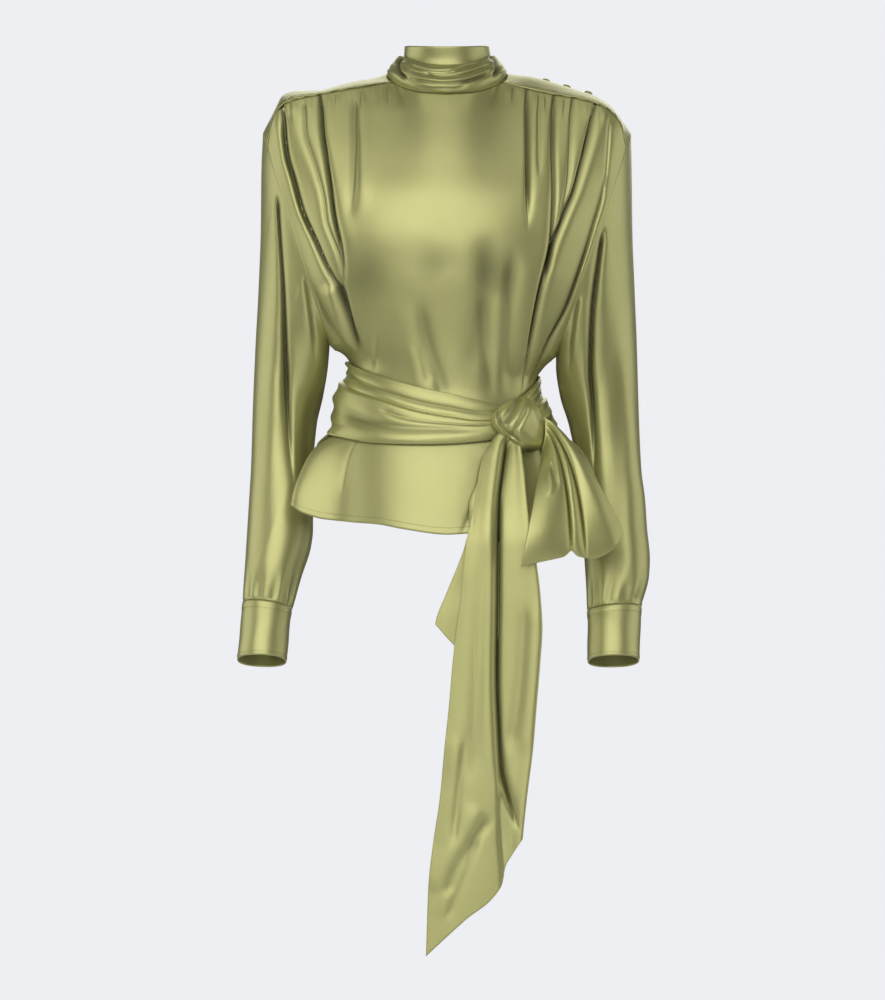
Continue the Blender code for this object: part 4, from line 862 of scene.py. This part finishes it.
def beltPiece():
    look = beltCloth
    even = np.linspace(0, 2, look["rows"] - len(look["extraRows"]))
    steps = np.sort(np.concatenate([even, look["extraRows"]]))
    angle, step = np.meshgrid(np.linspace(0, 360, look["around"] + 1)[:-1] + 90, steps)
    angle = angle % 360
    top, bottom, layer = [tableCurve(look["edges"], angle, k) for k in (1, 2, 3)]
    z = np.where(step < 1, top + (layer - top) * step, layer + (bottom - layer) * (step - 1))
    relief = allFolds(angle, step * 50, look, look["kinds"])
    relief = relief * easeStep(0, 0.12, step) * (1 - easeStep(1.9, 2.0, step))
    for at, wide, height in look["ripples"]:
        relief = relief + height * np.sin(step * 15 + at) * hump(angle - at, wide)
    standOff = tableCurve(look["section"], step) + relief
    points = waistPoint(angle, z, np.maximum(standOff, look["closest"]))
    toward = -points
    toward[..., 2] = 0
    # painted shade: the sash's creases and folds darken its colour
    return clothShell("sash", points, unitRows(toward), look["wall"], closed=True, stride=1,
                      creaseShade=slitShade(1.6 * relief))


# knot
knotCloth = {
    "wall": 1.2, "around": 120, "rows": 72, "centre": (85, -96, -398),
    "depth": 23.5, "back": 6.8, "lean": 0.3, "pole": 0.002,
    "outline": [(0, 31), (21, 30), (48, 33), (74, 35), (94, 33.5), (116, 31), (141, 32), (162, 33),
                (196, 26), (230, 20), (262, 24), (283, 35), (316, 37), (338, 33), (360, 31)],
    "folds": [
        (-1, 10.0, 4.6, [(8, 34), (-4, 17), (-13, 5), (-22, -5)]),
        (-1, 5.0, 2.0, [(14, 24), (5, 6), (-3, -8), (-9, -18)]),
        (1, 4.5, 2.2, [(15, 28), (22, 12), (27, -8)]),
        (1, 3.6, 3.4, [(-27, 22), (-25, 6), (-17, -7), (-6, -15), (6, -26)]),
    ],
    "foldEnds": (0.1, 0.3), "sharp": 0.2,
    "hollow": (12, -30, 11, 5, 6),  # a hollow mouth at its lower right, dark from its depth and from painted shade: x, z, half width, half height, depth
}


def knotPiece():
    look = knotCloth
    turn = np.linspace(0, 2 * math.pi, look["around"] + 1)[:-1]
    tilt = np.linspace(look["pole"], math.pi - look["pole"], look["rows"])
    tilt, turn = np.meshgrid(tilt, turn, indexing="ij")
    forward, out = np.cos(tilt), np.sin(tilt)
    radius = tableCurve(look["outline"], np.degrees(turn) % 360)
    dx, dz = out * np.cos(turn) * radius, out * np.sin(turn) * radius
    relief = foldRelief(dx, dz, look["folds"], look["foldEnds"], look["sharp"]) * easeStep(0, 0.35, forward)
    x0, z0, wide, tall, deep = look["hollow"]
    mouth = hump(np.hypot((dx - x0) / wide, (dz - z0) / tall), 1)
    relief = relief - deep * mouth * easeStep(0, 0.3, forward)
    depth = np.where(forward > 0, look["depth"], look["back"])
    centreX, centreY, centreZ = look["centre"]
    rest = centreY + look["lean"] * np.maximum(dx, -centreX / 3)
    y = rest - forward * depth - relief
    points = np.stack([centreX + dx, y, centreZ + dz], -1)
    inward = unitRows(np.array(look["centre"]) - points)
    # painted shade: the folds and the hollow mouth darken the knot's colour
    return clothShell("sashKnot", points, inward, look["wall"], closed=True, stride=1,
                      creaseShade=slitShade(relief))


# loop and tails
loopCloth = {
    "thickness": 1.1, "across": 140, "down": 160, "flat": (0.1, 0.33),
    # share, x and z at the knot, in the middle and at the turn, y at the turn
    "strands": [(0.0, 115, -388, 157, -431, 208, -523, -114), (0.2, 116, -395, 152, -440, 200, -540, -120),
                (0.4, 116, -402, 144, -450, 172, -555, -128), (0.6, 116, -409, 133, -458, 148, -552, -138),
                (0.8, 115, -417, 120, -468, 118, -557, -148), (1.0, 113, -426, 105, -472, 87, -564, -156)],
    "atKnot": -92, "flatAtKnot": 2.2, "bulge": 12,
    # share across of each deep fold near the knot and at the turn, its depth
    "slits": [(0.22, 0.47, 9), (0.43, 0.615, 10)],
    "lobes": 4.0, "slitReach": (0.009, 0.008),  # at the turn, and more towards the knot
    "notch": (0.612, 6.5, 0.04),  # share across, rise and width, in the turned edge
    "softFolds": [(1, 7, 2.4, [(76, 34), (72, 46), (70, 58)])],  # percent across and down
}
tailCloth = {
    "thickness": 1.0, "across": 110, "down": 220, "flat": (0.13, 0.6),
    # z, left edge, crease, right turn, free edge, y
    "widths": [(-396, 70, 80, 84, 78, -103), (-410, 58, 75, 86, 75, -104), (-432, 43, 70, 89, 72, -110),
               (-452, 38, 68, 92, 70, -117), (-480, 34, 65, 95, 67, -126), (-506, 29, 62, 98, 64, -133),
               (-540, 22, 61, 103, 63, -137), (-602, 16, 60, 111, 62, -136), (-637, 11, 60, 113, 62, -135),
               (-683, 6, 60, 110, 62, -134), (-730, 2, 62, 106, 64, -133), (-777, -3, 64, 102, 66, -132),
               (-841, -9, 61, 94, 73, -131), (-887, -16, 63, 89, 85, -130), (-941, -22, 67, 86, 84, -130),
               (-1025, -25, 60, 80, 78, -130)],
    "turns": (0.5, 0.74),  # where the crease and the right turn lie, as shares across
    # share across, top, slanting lower end
    "ends": [(0.0, -399, -1025), (0.25, -404, -983), (0.48, -410, -943), (0.51, -411, -926),
             (0.64, -416, -903), (0.74, -421, -886), (1.0, -428, -795)],
    "layers": [(0.0, 0.0), (0.12, -1.6), (0.3, -2.8), (0.46, -1.4), (0.52, 2.0), (0.62, 0.8),
               (0.72, -1.5), (0.78, 4.0), (0.88, 6.2), (1.0, 6.6)],
    # side, width, height, path seen from the front
    "creases": [
        (1, 9, 9, [(73, -400), (66, -450), (61, -502), (60, -600), (59, -690), (61, -750), (64, -800),
                   (76, -848), (87, -882)]),
    ],
    "folds": [
        (1, 16, 1.5, [(38, -520), (33, -640), (26, -740), (18, -830)]),
        (1, 9, 1.2, [(18, -760), (10, -830), (2, -900)]),
        (1, 13, 2.6, [(50, -850), (26, -884), (6, -918), (-8, -955)]),
        (1, 9, 1.2, [(34, -880), (16, -930), (-6, -985)]),
        (-1, 14, 1.6, [(98, -600), (92, -700), (78, -790)]),
    ],
    "kinds": {"folds": (foldShape["ends"], 0.0), "creases": ((0.02, 0.2), 0.9)},
}
shortTailCloth = {
    "thickness": 1.0, "across": 60, "down": 110, "flat": (0.085, 0.24),
    "roll": 2.0, "waver": 0.8,
    # z, left edge, right edge, y
    "widths": [(-440, 48, 74, -105), (-466, 35, 82, -112), (-490, 26, 86, -119), (-516, 26, 88, -125),
               (-540, 21, 90, -127), (-565, 12, 91, -127), (-594, 0, 90, -126), (-633, -14, 88, -125),
               (-715, -18, 84, -123)],
    # share across, top, slanting lower end
    "ends": [(0.0, -446, -633), (0.25, -446, -659), (0.6, -446, -688), (1.0, -446, -710)],
}


def hangingGrid(look):
    # share across, share down and height of every point of a tail
    share, fall = np.meshgrid(np.linspace(0, 1, look["across"] + 1), np.linspace(0, 1, look["down"] + 1))
    top, low = tableCurve(look["ends"], share, 1), tableCurve(look["ends"], share, 2)
    return share, fall, top + (low - top) * fall


def loopPiece():
    look = loopCloth
    share, way = np.meshgrid(np.linspace(0, 1, look["across"] + 1), np.linspace(0, 1, look["down"] + 1))
    down = np.sin((1 - np.abs(2 * way - 1)) * math.pi / 2)
    start, middle, turn = [np.stack([tableCurve(look["strands"], share, k),
                                     tableCurve(look["strands"], share, k + 1)], -1) for k in (1, 3, 5)]
    t = down[..., None]
    control = 2 * middle - (start + turn) / 2
    flat = (1 - t) ** 2 * start + 2 * t * (1 - t) * control + t**2 * turn
    at, rise, wide = look["notch"]
    flat[..., 1] += rise * hump(share - at, wide) * down**12
    facing = np.cos(math.pi * way)
    spread = look["flatAtKnot"] + (look["bulge"] - look["flatAtKnot"]) * easeStep(0, 0.6, down)
    line = look["atKnot"] + (tableCurve(look["strands"], share, 7) - look["atKnot"]) * easeStep(0, 1, down)
    lines = [high + (low - high) * down for high, low, _ in look["slits"]]
    bounds = [0 * down, *lines, 0 * down + 1]
    pleat, cleft = 0 * down, 0 * down
    for low, high in zip(bounds, bounds[1:]):  # each lobe between two slits swells forward
        t = np.clip((share - low) / (high - low), 0, 1)
        pleat = pleat + look["lobes"] * np.sin(math.pi * t) ** 0.8
    narrow, more = look["slitReach"]
    for slit, (_, _, deep) in zip(lines, look["slits"]):
        cleft = cleft - deep * np.exp(-np.abs(share - slit) / (narrow + more * (1 - down)))
    pleat = pleat + cleft
    pleat = pleat * easeStep(0.02, 0.3, down) * (1 - 0.6 * easeStep(0.8, 1, down))
    pleat = pleat + foldRelief(share * 100, down * 100, look["softFolds"])
    pleat = pleat * np.sign(facing) * np.minimum(1, 3 * np.abs(facing))
    y = line - facing * spread - pleat
    # painted shade: the loop's deep slits darken its colour
    creaseShade = slitShade(cleft * easeStep(0.02, 0.3, down) * (1 - easeStep(0.9, 1, down)))
    return looseSheet("bowLoop", np.stack([flat[..., 0], y, flat[..., 1]], -1), look["thickness"], creaseShade)


def longTailPiece():
    look = tailCloth
    share, fall, z = hangingGrid(look)
    edge, crease, turn, free = [tableCurve(look["widths"], z, k) for k in (1, 2, 3, 4)]
    one, two = look["turns"]
    first = edge + (crease - edge) * share / one
    second = crease + (turn - crease) * (share - one) / (two - one)
    third = turn + (free - turn) * (share - two) / (1 - two)
    x = np.where(share < one, first, np.where(share < two, second, third))
    y = tableCurve(look["widths"], z, 5) + tableCurve(look["layers"], share)
    relief = allFolds(x, z, look, look["kinds"])
    relief = relief * easeStep(0, 0.03, fall) * (1 - easeStep(0.7, 0.76, share))
    points = np.stack([x, y - relief, z], -1)
    # painted shade: the tail's crease and folds darken its colour
    return looseSheet("longTail", points, look["thickness"], slitShade(relief))


def shortTailPiece():
    look = shortTailCloth
    share, _, z = hangingGrid(look)
    edge, other = tableCurve(look["widths"], z, 1), tableCurve(look["widths"], z, 2)
    y = tableCurve(look["widths"], z, 3) - look["roll"] * np.sin(share * math.pi * 2)
    y = y - look["waver"] * np.sin(share * 16 + z / 40)
    points = np.stack([edge + (other - edge) * share, y, z], -1)
    return looseSheet("shortTail", points, look["thickness"])


# buttons
# where each stands along the left yoke and across it as shares, sizes in millimetres, and the
# cap's profile as shares of its radius and height
buttonLook = {"at": (0.214, 0.336, 0.486), "across": 0.1, "radius": 5.0, "height": 3.8, "gap": -1.3,
              "around": 32,
              "profile": [(0.0, 0.0), (0.9, 0.0), (1.0, 0.1), (1.02, 0.3), (0.97, 0.52), (0.82, 0.76),
                          (0.55, 0.93), (0.26, 0.99), (0.0, 1.0)]}


def buttonPiece(number, share):
    look = buttonLook
    along, across = np.array(share), np.array(look["across"])
    here = yokeSurface("left", along, across)
    out = unitRows(yokeSurface("left", along + 0.02, across) - here)
    up = unitRows(np.cross(out, yokeSurface("left", along, across + 0.05) - here))
    rear = np.cross(up, out)
    turn = np.linspace(0, 2 * math.pi, look["around"] + 1)[:-1, None]
    shape = bmesh.new()
    rings = []
    for radius, height in look["profile"]:
        base = here + up * (look["gap"] + height * look["height"])
        if radius == 0:
            rings.append([shape.verts.new(base * mm)])
        else:
            ring = base + look["radius"] * radius * (np.cos(turn) * out + np.sin(turn) * rear)
            rings.append([shape.verts.new(point * mm) for point in ring])
    for low, high in zip(rings, rings[1:]):
        for k in range(look["around"]):
            n = (k + 1) % look["around"]
            corners = [low[0]] if len(low) == 1 else [low[k], low[n]]
            corners += [high[0]] if len(high) == 1 else [high[n], high[k]]
            shape.faces.new(corners)
    bmesh.ops.recalc_face_normals(shape, faces=shape.faces)
    name = f"coveredButton{number}"
    mesh = bpy.data.meshes.new(name)
    shape.to_mesh(mesh)
    shape.free()
    mesh.shade_smooth()
    return placed(name, mesh)


# nodes
def newNode(tree, kind, values):
    node = tree.nodes.new(kind)
    for socket, value in values.items():
        node.inputs[socket].default_value = value
    return node


def joinNodes(tree, rows):
    for source, given, target, taken in rows:
        tree.links.new(source.outputs[given], target.inputs[taken])


def newSockets(tree, way, rows):
    for name, kind, value in rows:
        socket = tree.interface.new_socket(name=name, in_out=way, socket_type="NodeSocket" + kind)
        if value is not None:
            socket.default_value = value


# stitches
def stitchTree():
    # an open line of edges becomes a row of small thread stitches
    tree = bpy.data.node_groups.new("stitchRow", "GeometryNodeTree")
    newSockets(tree, "INPUT", [
        ("Line", "Geometry", None), ("Spacing", "Float", None), ("Length", "Float", None),
        ("Width", "Float", None), ("Thread", "Material", None)])
    newSockets(tree, "OUTPUT", [("Stitches", "Geometry", None)])
    nodes = tree.nodes
    given, made = nodes.new("NodeGroupInput"), nodes.new("NodeGroupOutput")
    curve = nodes.new("GeometryNodeMeshToCurve")
    points = nodes.new("GeometryNodeCurveToPoints")
    points.mode = "LENGTH"
    bead = newNode(tree, "GeometryNodeMeshUVSphere", {"Segments": 6, "Rings": 4, "Radius": 0.5})
    size = nodes.new("ShaderNodeCombineXYZ")
    place = nodes.new("GeometryNodeInstanceOnPoints")
    realize = nodes.new("GeometryNodeRealizeInstances")
    smooth = nodes.new("GeometryNodeSetShadeSmooth")
    paint = nodes.new("GeometryNodeSetMaterial")
    joinNodes(tree, [
        (given, "Line", curve, "Mesh"),
        (curve, "Curve", points, "Curve"),
        (given, "Spacing", points, "Length"),
        (given, "Width", size, "X"),
        (given, "Width", size, "Y"),
        (given, "Length", size, "Z"),
        (points, "Points", place, "Points"),
        (points, "Rotation", place, "Rotation"),
        (bead, "Mesh", place, "Instance"),
        (size, "Vector", place, "Scale"),
        (place, "Instances", realize, "Geometry"),
        (realize, "Geometry", smooth, "Geometry"),
        (smooth, "Geometry", paint, "Geometry"),
        (given, "Thread", paint, "Material"),
        (paint, "Geometry", made, "Stitches"),
    ])
    return tree


def stitchPiece(name, lines, tree, thread):
    mesh = bpy.data.meshes.new(name + "Line")
    points = np.concatenate(lines) * mm
    edges, start = [], 0
    for line in lines:
        edges += [(start + k, start + k + 1) for k in range(len(line) - 1)]
        start += len(line)
    mesh.from_pydata(points.tolist(), edges, [])
    holder = placed(name + "Line", mesh)
    modifier = holder.modifiers.new("stitches", "NODES")
    modifier.node_group = tree
    values = {"Spacing": stitchLook["spacing"] * mm, "Length": stitchLook["length"] * mm,
              "Width": stitchLook["width"] * mm, "Thread": thread}
    for item in tree.interface.items_tree:
        if item.in_out == "INPUT" and item.name in values:
            modifier[item.identifier] = values[item.name]
    grown = holder.evaluated_get(bpy.context.evaluated_depsgraph_get())
    stitches = bpy.data.meshes.new_from_object(grown)
    holder.modifiers.clear()
    bpy.data.objects.remove(holder)
    bpy.data.meshes.remove(mesh)
    stitches.name = name
    piece = placed(name, stitches)
    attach(piece, "root")
    return piece


# satin
# scales of the noise and the threads, the swing of the gloss, and how much painted shade darkens the cloth in
# a slit
toneAndShadeLook = {"cloud": 9, "crinkle": 42, "threads": 1400, "glossSwing": 0.08, "threadHeight": 0.03,
            "paintedSlitShade": 0.84, "shadeShare": 0.35}


def satinToneGroup():
    # slow changes of tone and gloss, and fine threads, from one coordinate, and painted shade that darkens
    # the colour in the slits
    tree = bpy.data.node_groups.new("satinToneAndShade", "ShaderNodeTree")
    newSockets(tree, "INPUT", [
        ("Vector", "Vector", None), ("Cloth", "Vector", None), ("Colour", "Color", (0.3, 0.3, 0.1, 1)),
        ("Shade", "Color", (0.2, 0.2, 0.08, 1)), ("Gloss", "Float", 0.38), ("PaintedShade", "Float", 0.0)])
    newSockets(tree, "OUTPUT", [
        ("Colour", "Color", None), ("Roughness", "Float", None), ("Height", "Float", None)])
    nodes = tree.nodes
    given, made = nodes.new("NodeGroupInput"), nodes.new("NodeGroupOutput")
    cloud = newNode(tree, "ShaderNodeTexNoise", {"Scale": toneAndShadeLook["cloud"], "Detail": 3})
    share = newNode(tree, "ShaderNodeMapRange", {"From Min": 0.35, "From Max": 0.7, "To Min": 0.0,
                                                 "To Max": toneAndShadeLook["shadeShare"]})
    mix = nodes.new("ShaderNodeMix")
    mix.data_type = "RGBA"
    # painted shade: the colour is darkened by the crease attribute, as if little light reached the bottom of
    # a slit
    deep = newNode(tree, "ShaderNodeMath", {1: -toneAndShadeLook["paintedSlitShade"], 2: 1.0})
    deep.use_clamp = True
    dim = nodes.new("ShaderNodeVectorMath")
    dim.operation = "SCALE"
    gloss = newNode(tree, "ShaderNodeMath", {1: toneAndShadeLook["glossSwing"]})
    stretch = newNode(tree, "ShaderNodeMapping", {"Scale": (1, 1, 0.35)})
    crinkle = newNode(tree, "ShaderNodeTexNoise", {"Scale": toneAndShadeLook["crinkle"], "Detail": 2})
    threads = newNode(tree, "ShaderNodeTexWave", {"Scale": toneAndShadeLook["threads"], "Distortion": 0.6})
    threads.wave_type, threads.bands_direction = "BANDS", "DIAGONAL"
    fine = newNode(tree, "ShaderNodeMath", {1: toneAndShadeLook["threadHeight"]})
    for node in (deep, gloss, fine):
        node.operation = "MULTIPLY_ADD"
    joinNodes(tree, [
        (given, "Vector", cloud, "Vector"),
        (cloud, "Fac", share, "Value"),
        (share, "Result", mix, "Factor"),
        (given, "Colour", mix, "A"),
        (given, "Shade", mix, "B"),
        (given, "PaintedShade", deep, 0),
        (mix, "Result", dim, 0),
        (deep, "Value", dim, "Scale"),
        (dim, "Vector", made, "Colour"),
        (cloud, "Fac", gloss, 0),
        (given, "Gloss", gloss, 2),
        (gloss, "Value", made, "Roughness"),
        (given, "Vector", stretch, "Vector"),
        (stretch, "Vector", crinkle, "Vector"),
        (given, "Cloth", threads, "Vector"),
        (threads, "Fac", fine, 0),
        (crinkle, "Fac", fine, 2),
        (fine, "Value", made, "Height"),
    ])
    return tree


satinLook = {
    "bodice": {"colour": (0.465, 0.46, 0.19, 1), "shade": (0.40, 0.395, 0.145, 1), "gloss": 0.37},
    "sash": {"colour": (0.465, 0.46, 0.186, 1), "shade": (0.40, 0.395, 0.14, 1), "gloss": 0.36},
    "thread": {"colour": (0.2, 0.196, 0.075, 1), "shade": (0.16, 0.156, 0.055, 1), "gloss": 0.5},
    "metallic": 0.6, "sheen": 0.05, "sheenRoughness": 0.4, "sheenTint": (0.9, 0.9, 0.72, 1),
    "bump": 0.2, "bumpDistance": 0.001,  # strength, and metres
}


def satin(name, look, toneAndShadeGroup):
    material = bpy.data.materials.new(name)
    material.use_nodes = True
    tree = material.node_tree
    shader = tree.nodes["Principled BSDF"]
    shader.inputs["Metallic"].default_value = satinLook["metallic"]
    shader.inputs["Sheen Weight"].default_value = satinLook["sheen"]
    shader.inputs["Sheen Roughness"].default_value = satinLook["sheenRoughness"]
    shader.inputs["Sheen Tint"].default_value = satinLook["sheenTint"]
    where = tree.nodes.new("ShaderNodeTexCoord")
    cloth = tree.nodes.new("ShaderNodeUVMap")
    cloth.uv_map = "cloth"
    # painted shade in the slits, read from the crease attribute
    crease = tree.nodes.new("ShaderNodeAttribute")
    crease.attribute_name = "crease"
    tone = tree.nodes.new("ShaderNodeGroup")
    tone.node_tree = toneAndShadeGroup
    for name in ("Colour", "Shade", "Gloss"):
        tone.inputs[name].default_value = look[name.lower()]
    bump = newNode(tree, "ShaderNodeBump", {"Strength": satinLook["bump"],
                                            "Distance": satinLook["bumpDistance"]})
    joinNodes(tree, [
        (where, "Object", tone, "Vector"),
        (cloth, "UV", tone, "Cloth"),
        (crease, "Fac", tone, "PaintedShade"),
        (tone, "Colour", shader, "Base Color"),
        (tone, "Roughness", shader, "Roughness"),
        (tone, "Height", bump, "Height"),
        (bump, "Normal", shader, "Normal"),
    ])
    return material


toneAndShadeGroup = satinToneGroup()
bodiceSatin = satin("bodiceSatin", satinLook["bodice"], toneAndShadeGroup)
sashSatin = satin("sashSatin", satinLook["sash"], toneAndShadeGroup)
thread = satin("thread", satinLook["thread"], toneAndShadeGroup)
stitchRow = stitchTree()
print("satin made")

for name, look in (("front", frontCloth), ("back", backCloth)):
    upper, lower, hemLine = bodyPanel(name == "back")
    dressed(upper, bodiceSatin, [name])
    dressed(lower, bodiceSatin, ["peplum_" + name])
    hem = stitchPiece(name + "HemStitches", [hemLine], stitchRow, thread)
print("front and back made")
for side in ("left", "right"):
    yoke, lines = yokePiece(side)
    dressed(yoke, bodiceSatin, ["yoke_" + side])
    edge = stitchPiece("yokeStitches" + side.title(), lines, stitchRow, thread)
    sleeve = dressed(sleevePiece(side), bodiceSatin, ["sleeve_" + side])
    cuff, lines = cuffPiece(side)
    dressed(cuff, bodiceSatin, ["cuff_" + side])
    edge = stitchPiece("cuffStitches" + side.title(), lines, stitchRow, thread)
print("yokes, sleeves and cuffs made")
stand = dressed(collarPiece("collarStand", "stand"), bodiceSatin, ["collar_stand"])
drape = dressed(collarPiece("collarDrape", "drape"), bodiceSatin, ["collar_drape"])
print("collar made")
sash = dressed(beltPiece(), sashSatin, ["belt"])
dressed(knotPiece(), sashSatin, ["knot"])
loop = dressed(loopPiece(), sashSatin, ["loop"])
longTail = dressed(longTailPiece(), sashSatin, ["tail_long"])
shortTail = dressed(shortTailPiece(), sashSatin, ["tail_short"])
print("sash made")
for number, share in enumerate(buttonLook["at"], 1):
    dressed(buttonPiece(number, share), bodiceSatin, [f"button_{number}"])
print("buttons made")


# floor, light and camera
stageLook = {
    "pale": (0.855, 0.863, 0.896), "ambient": 0.02,
    "floor": -1.22, "floorHalf": 1.1, "floorRoughness": 0.9,
    "lens": 240, "sensor": 36, "camera": (-0.0054, -8.0, -0.486),
    # name, place, aim, size x, size y, power, colour
    "lights": [
        ("key", (-0.4, -3.0, 0.7), (-0.05, 0, -0.2), 3.0, 3.0, 68, (1.0, 0.995, 0.98)),
        ("low", (0, -2.4, -1.5), (0, 0, -0.3), 2.4, 0.9, 8, (1.0, 1.0, 1.0)),
        ("top", (-0.1, -1.5, 2.4), (0, 0, -0.1), 2.6, 1.6, 10, (1.0, 1.0, 1.0)),
        ("sideLeft", (-2.4, 0.1, -0.2), (0, 0, -0.4), 3.0, 2.2, 26, (1.0, 1.0, 1.0)),
        ("sideRight", (2.4, 0.1, -0.2), (0, 0, -0.4), 3.0, 2.2, 22, (1.0, 1.0, 1.0)),
        ("rear", (0.4, 3.0, 1.3), (0, 0, -0.3), 3.0, 2.8, 56, (1.0, 1.0, 1.0)),
    ],
}


def aimed(item, place, aim):
    item.location = place
    item.rotation_euler = (Vector(aim) - Vector(place)).to_track_quat("-Z", "Y").to_euler()


world = bpy.data.worlds.new("paleStudio")
bpy.context.scene.world = world
world.use_nodes = True
background = world.node_tree.nodes["Background"]
background.inputs["Color"].default_value = (*stageLook["pale"], 1)
seen = world.node_tree.nodes.new("ShaderNodeLightPath")
strength = newNode(world.node_tree, "ShaderNodeMapRange", {"To Min": stageLook["ambient"], "To Max": 1.0})
joinNodes(world.node_tree, [
    (seen, "Is Camera Ray", strength, "Value"),
    (strength, "Result", background, "Strength"),
])

for name, place, aim, sizeX, sizeY, power, colour in stageLook["lights"]:
    data = bpy.data.lights.new(name, "AREA")
    data.shape, data.size, data.size_y = "RECTANGLE", sizeX, sizeY
    data.energy, data.color = power, colour
    aimed(placed(name, data), place, aim)

half, low = stageLook["floorHalf"], stageLook["floor"]
floorMesh = bpy.data.meshes.new("paleFloor")
corners = [(-half, -half, low), (half, -half, low), (half, half, low), (-half, half, low)]
floorMesh.from_pydata(corners, [], [(0, 1, 2, 3)])
floor = placed("paleFloor", floorMesh)
floorPaint = bpy.data.materials.new("palePaint")
floorPaint.use_nodes = True
paint = floorPaint.node_tree.nodes["Principled BSDF"]
paint.inputs["Base Color"].default_value = (*stageLook["pale"], 1)
paint.inputs["Roughness"].default_value = stageLook["floorRoughness"]
floorMesh.materials.append(floorPaint)

cameraData = bpy.data.cameras.new("camera")
cameraData.lens, cameraData.sensor_width = stageLook["lens"], stageLook["sensor"]
camera = placed("camera", cameraData)
camera.location = stageLook["camera"]
camera.rotation_euler = (math.radians(90), 0, 0)
bpy.context.scene.camera = camera
bpy.context.scene.view_settings.view_transform = "Standard"
print("stage, lights and camera made")
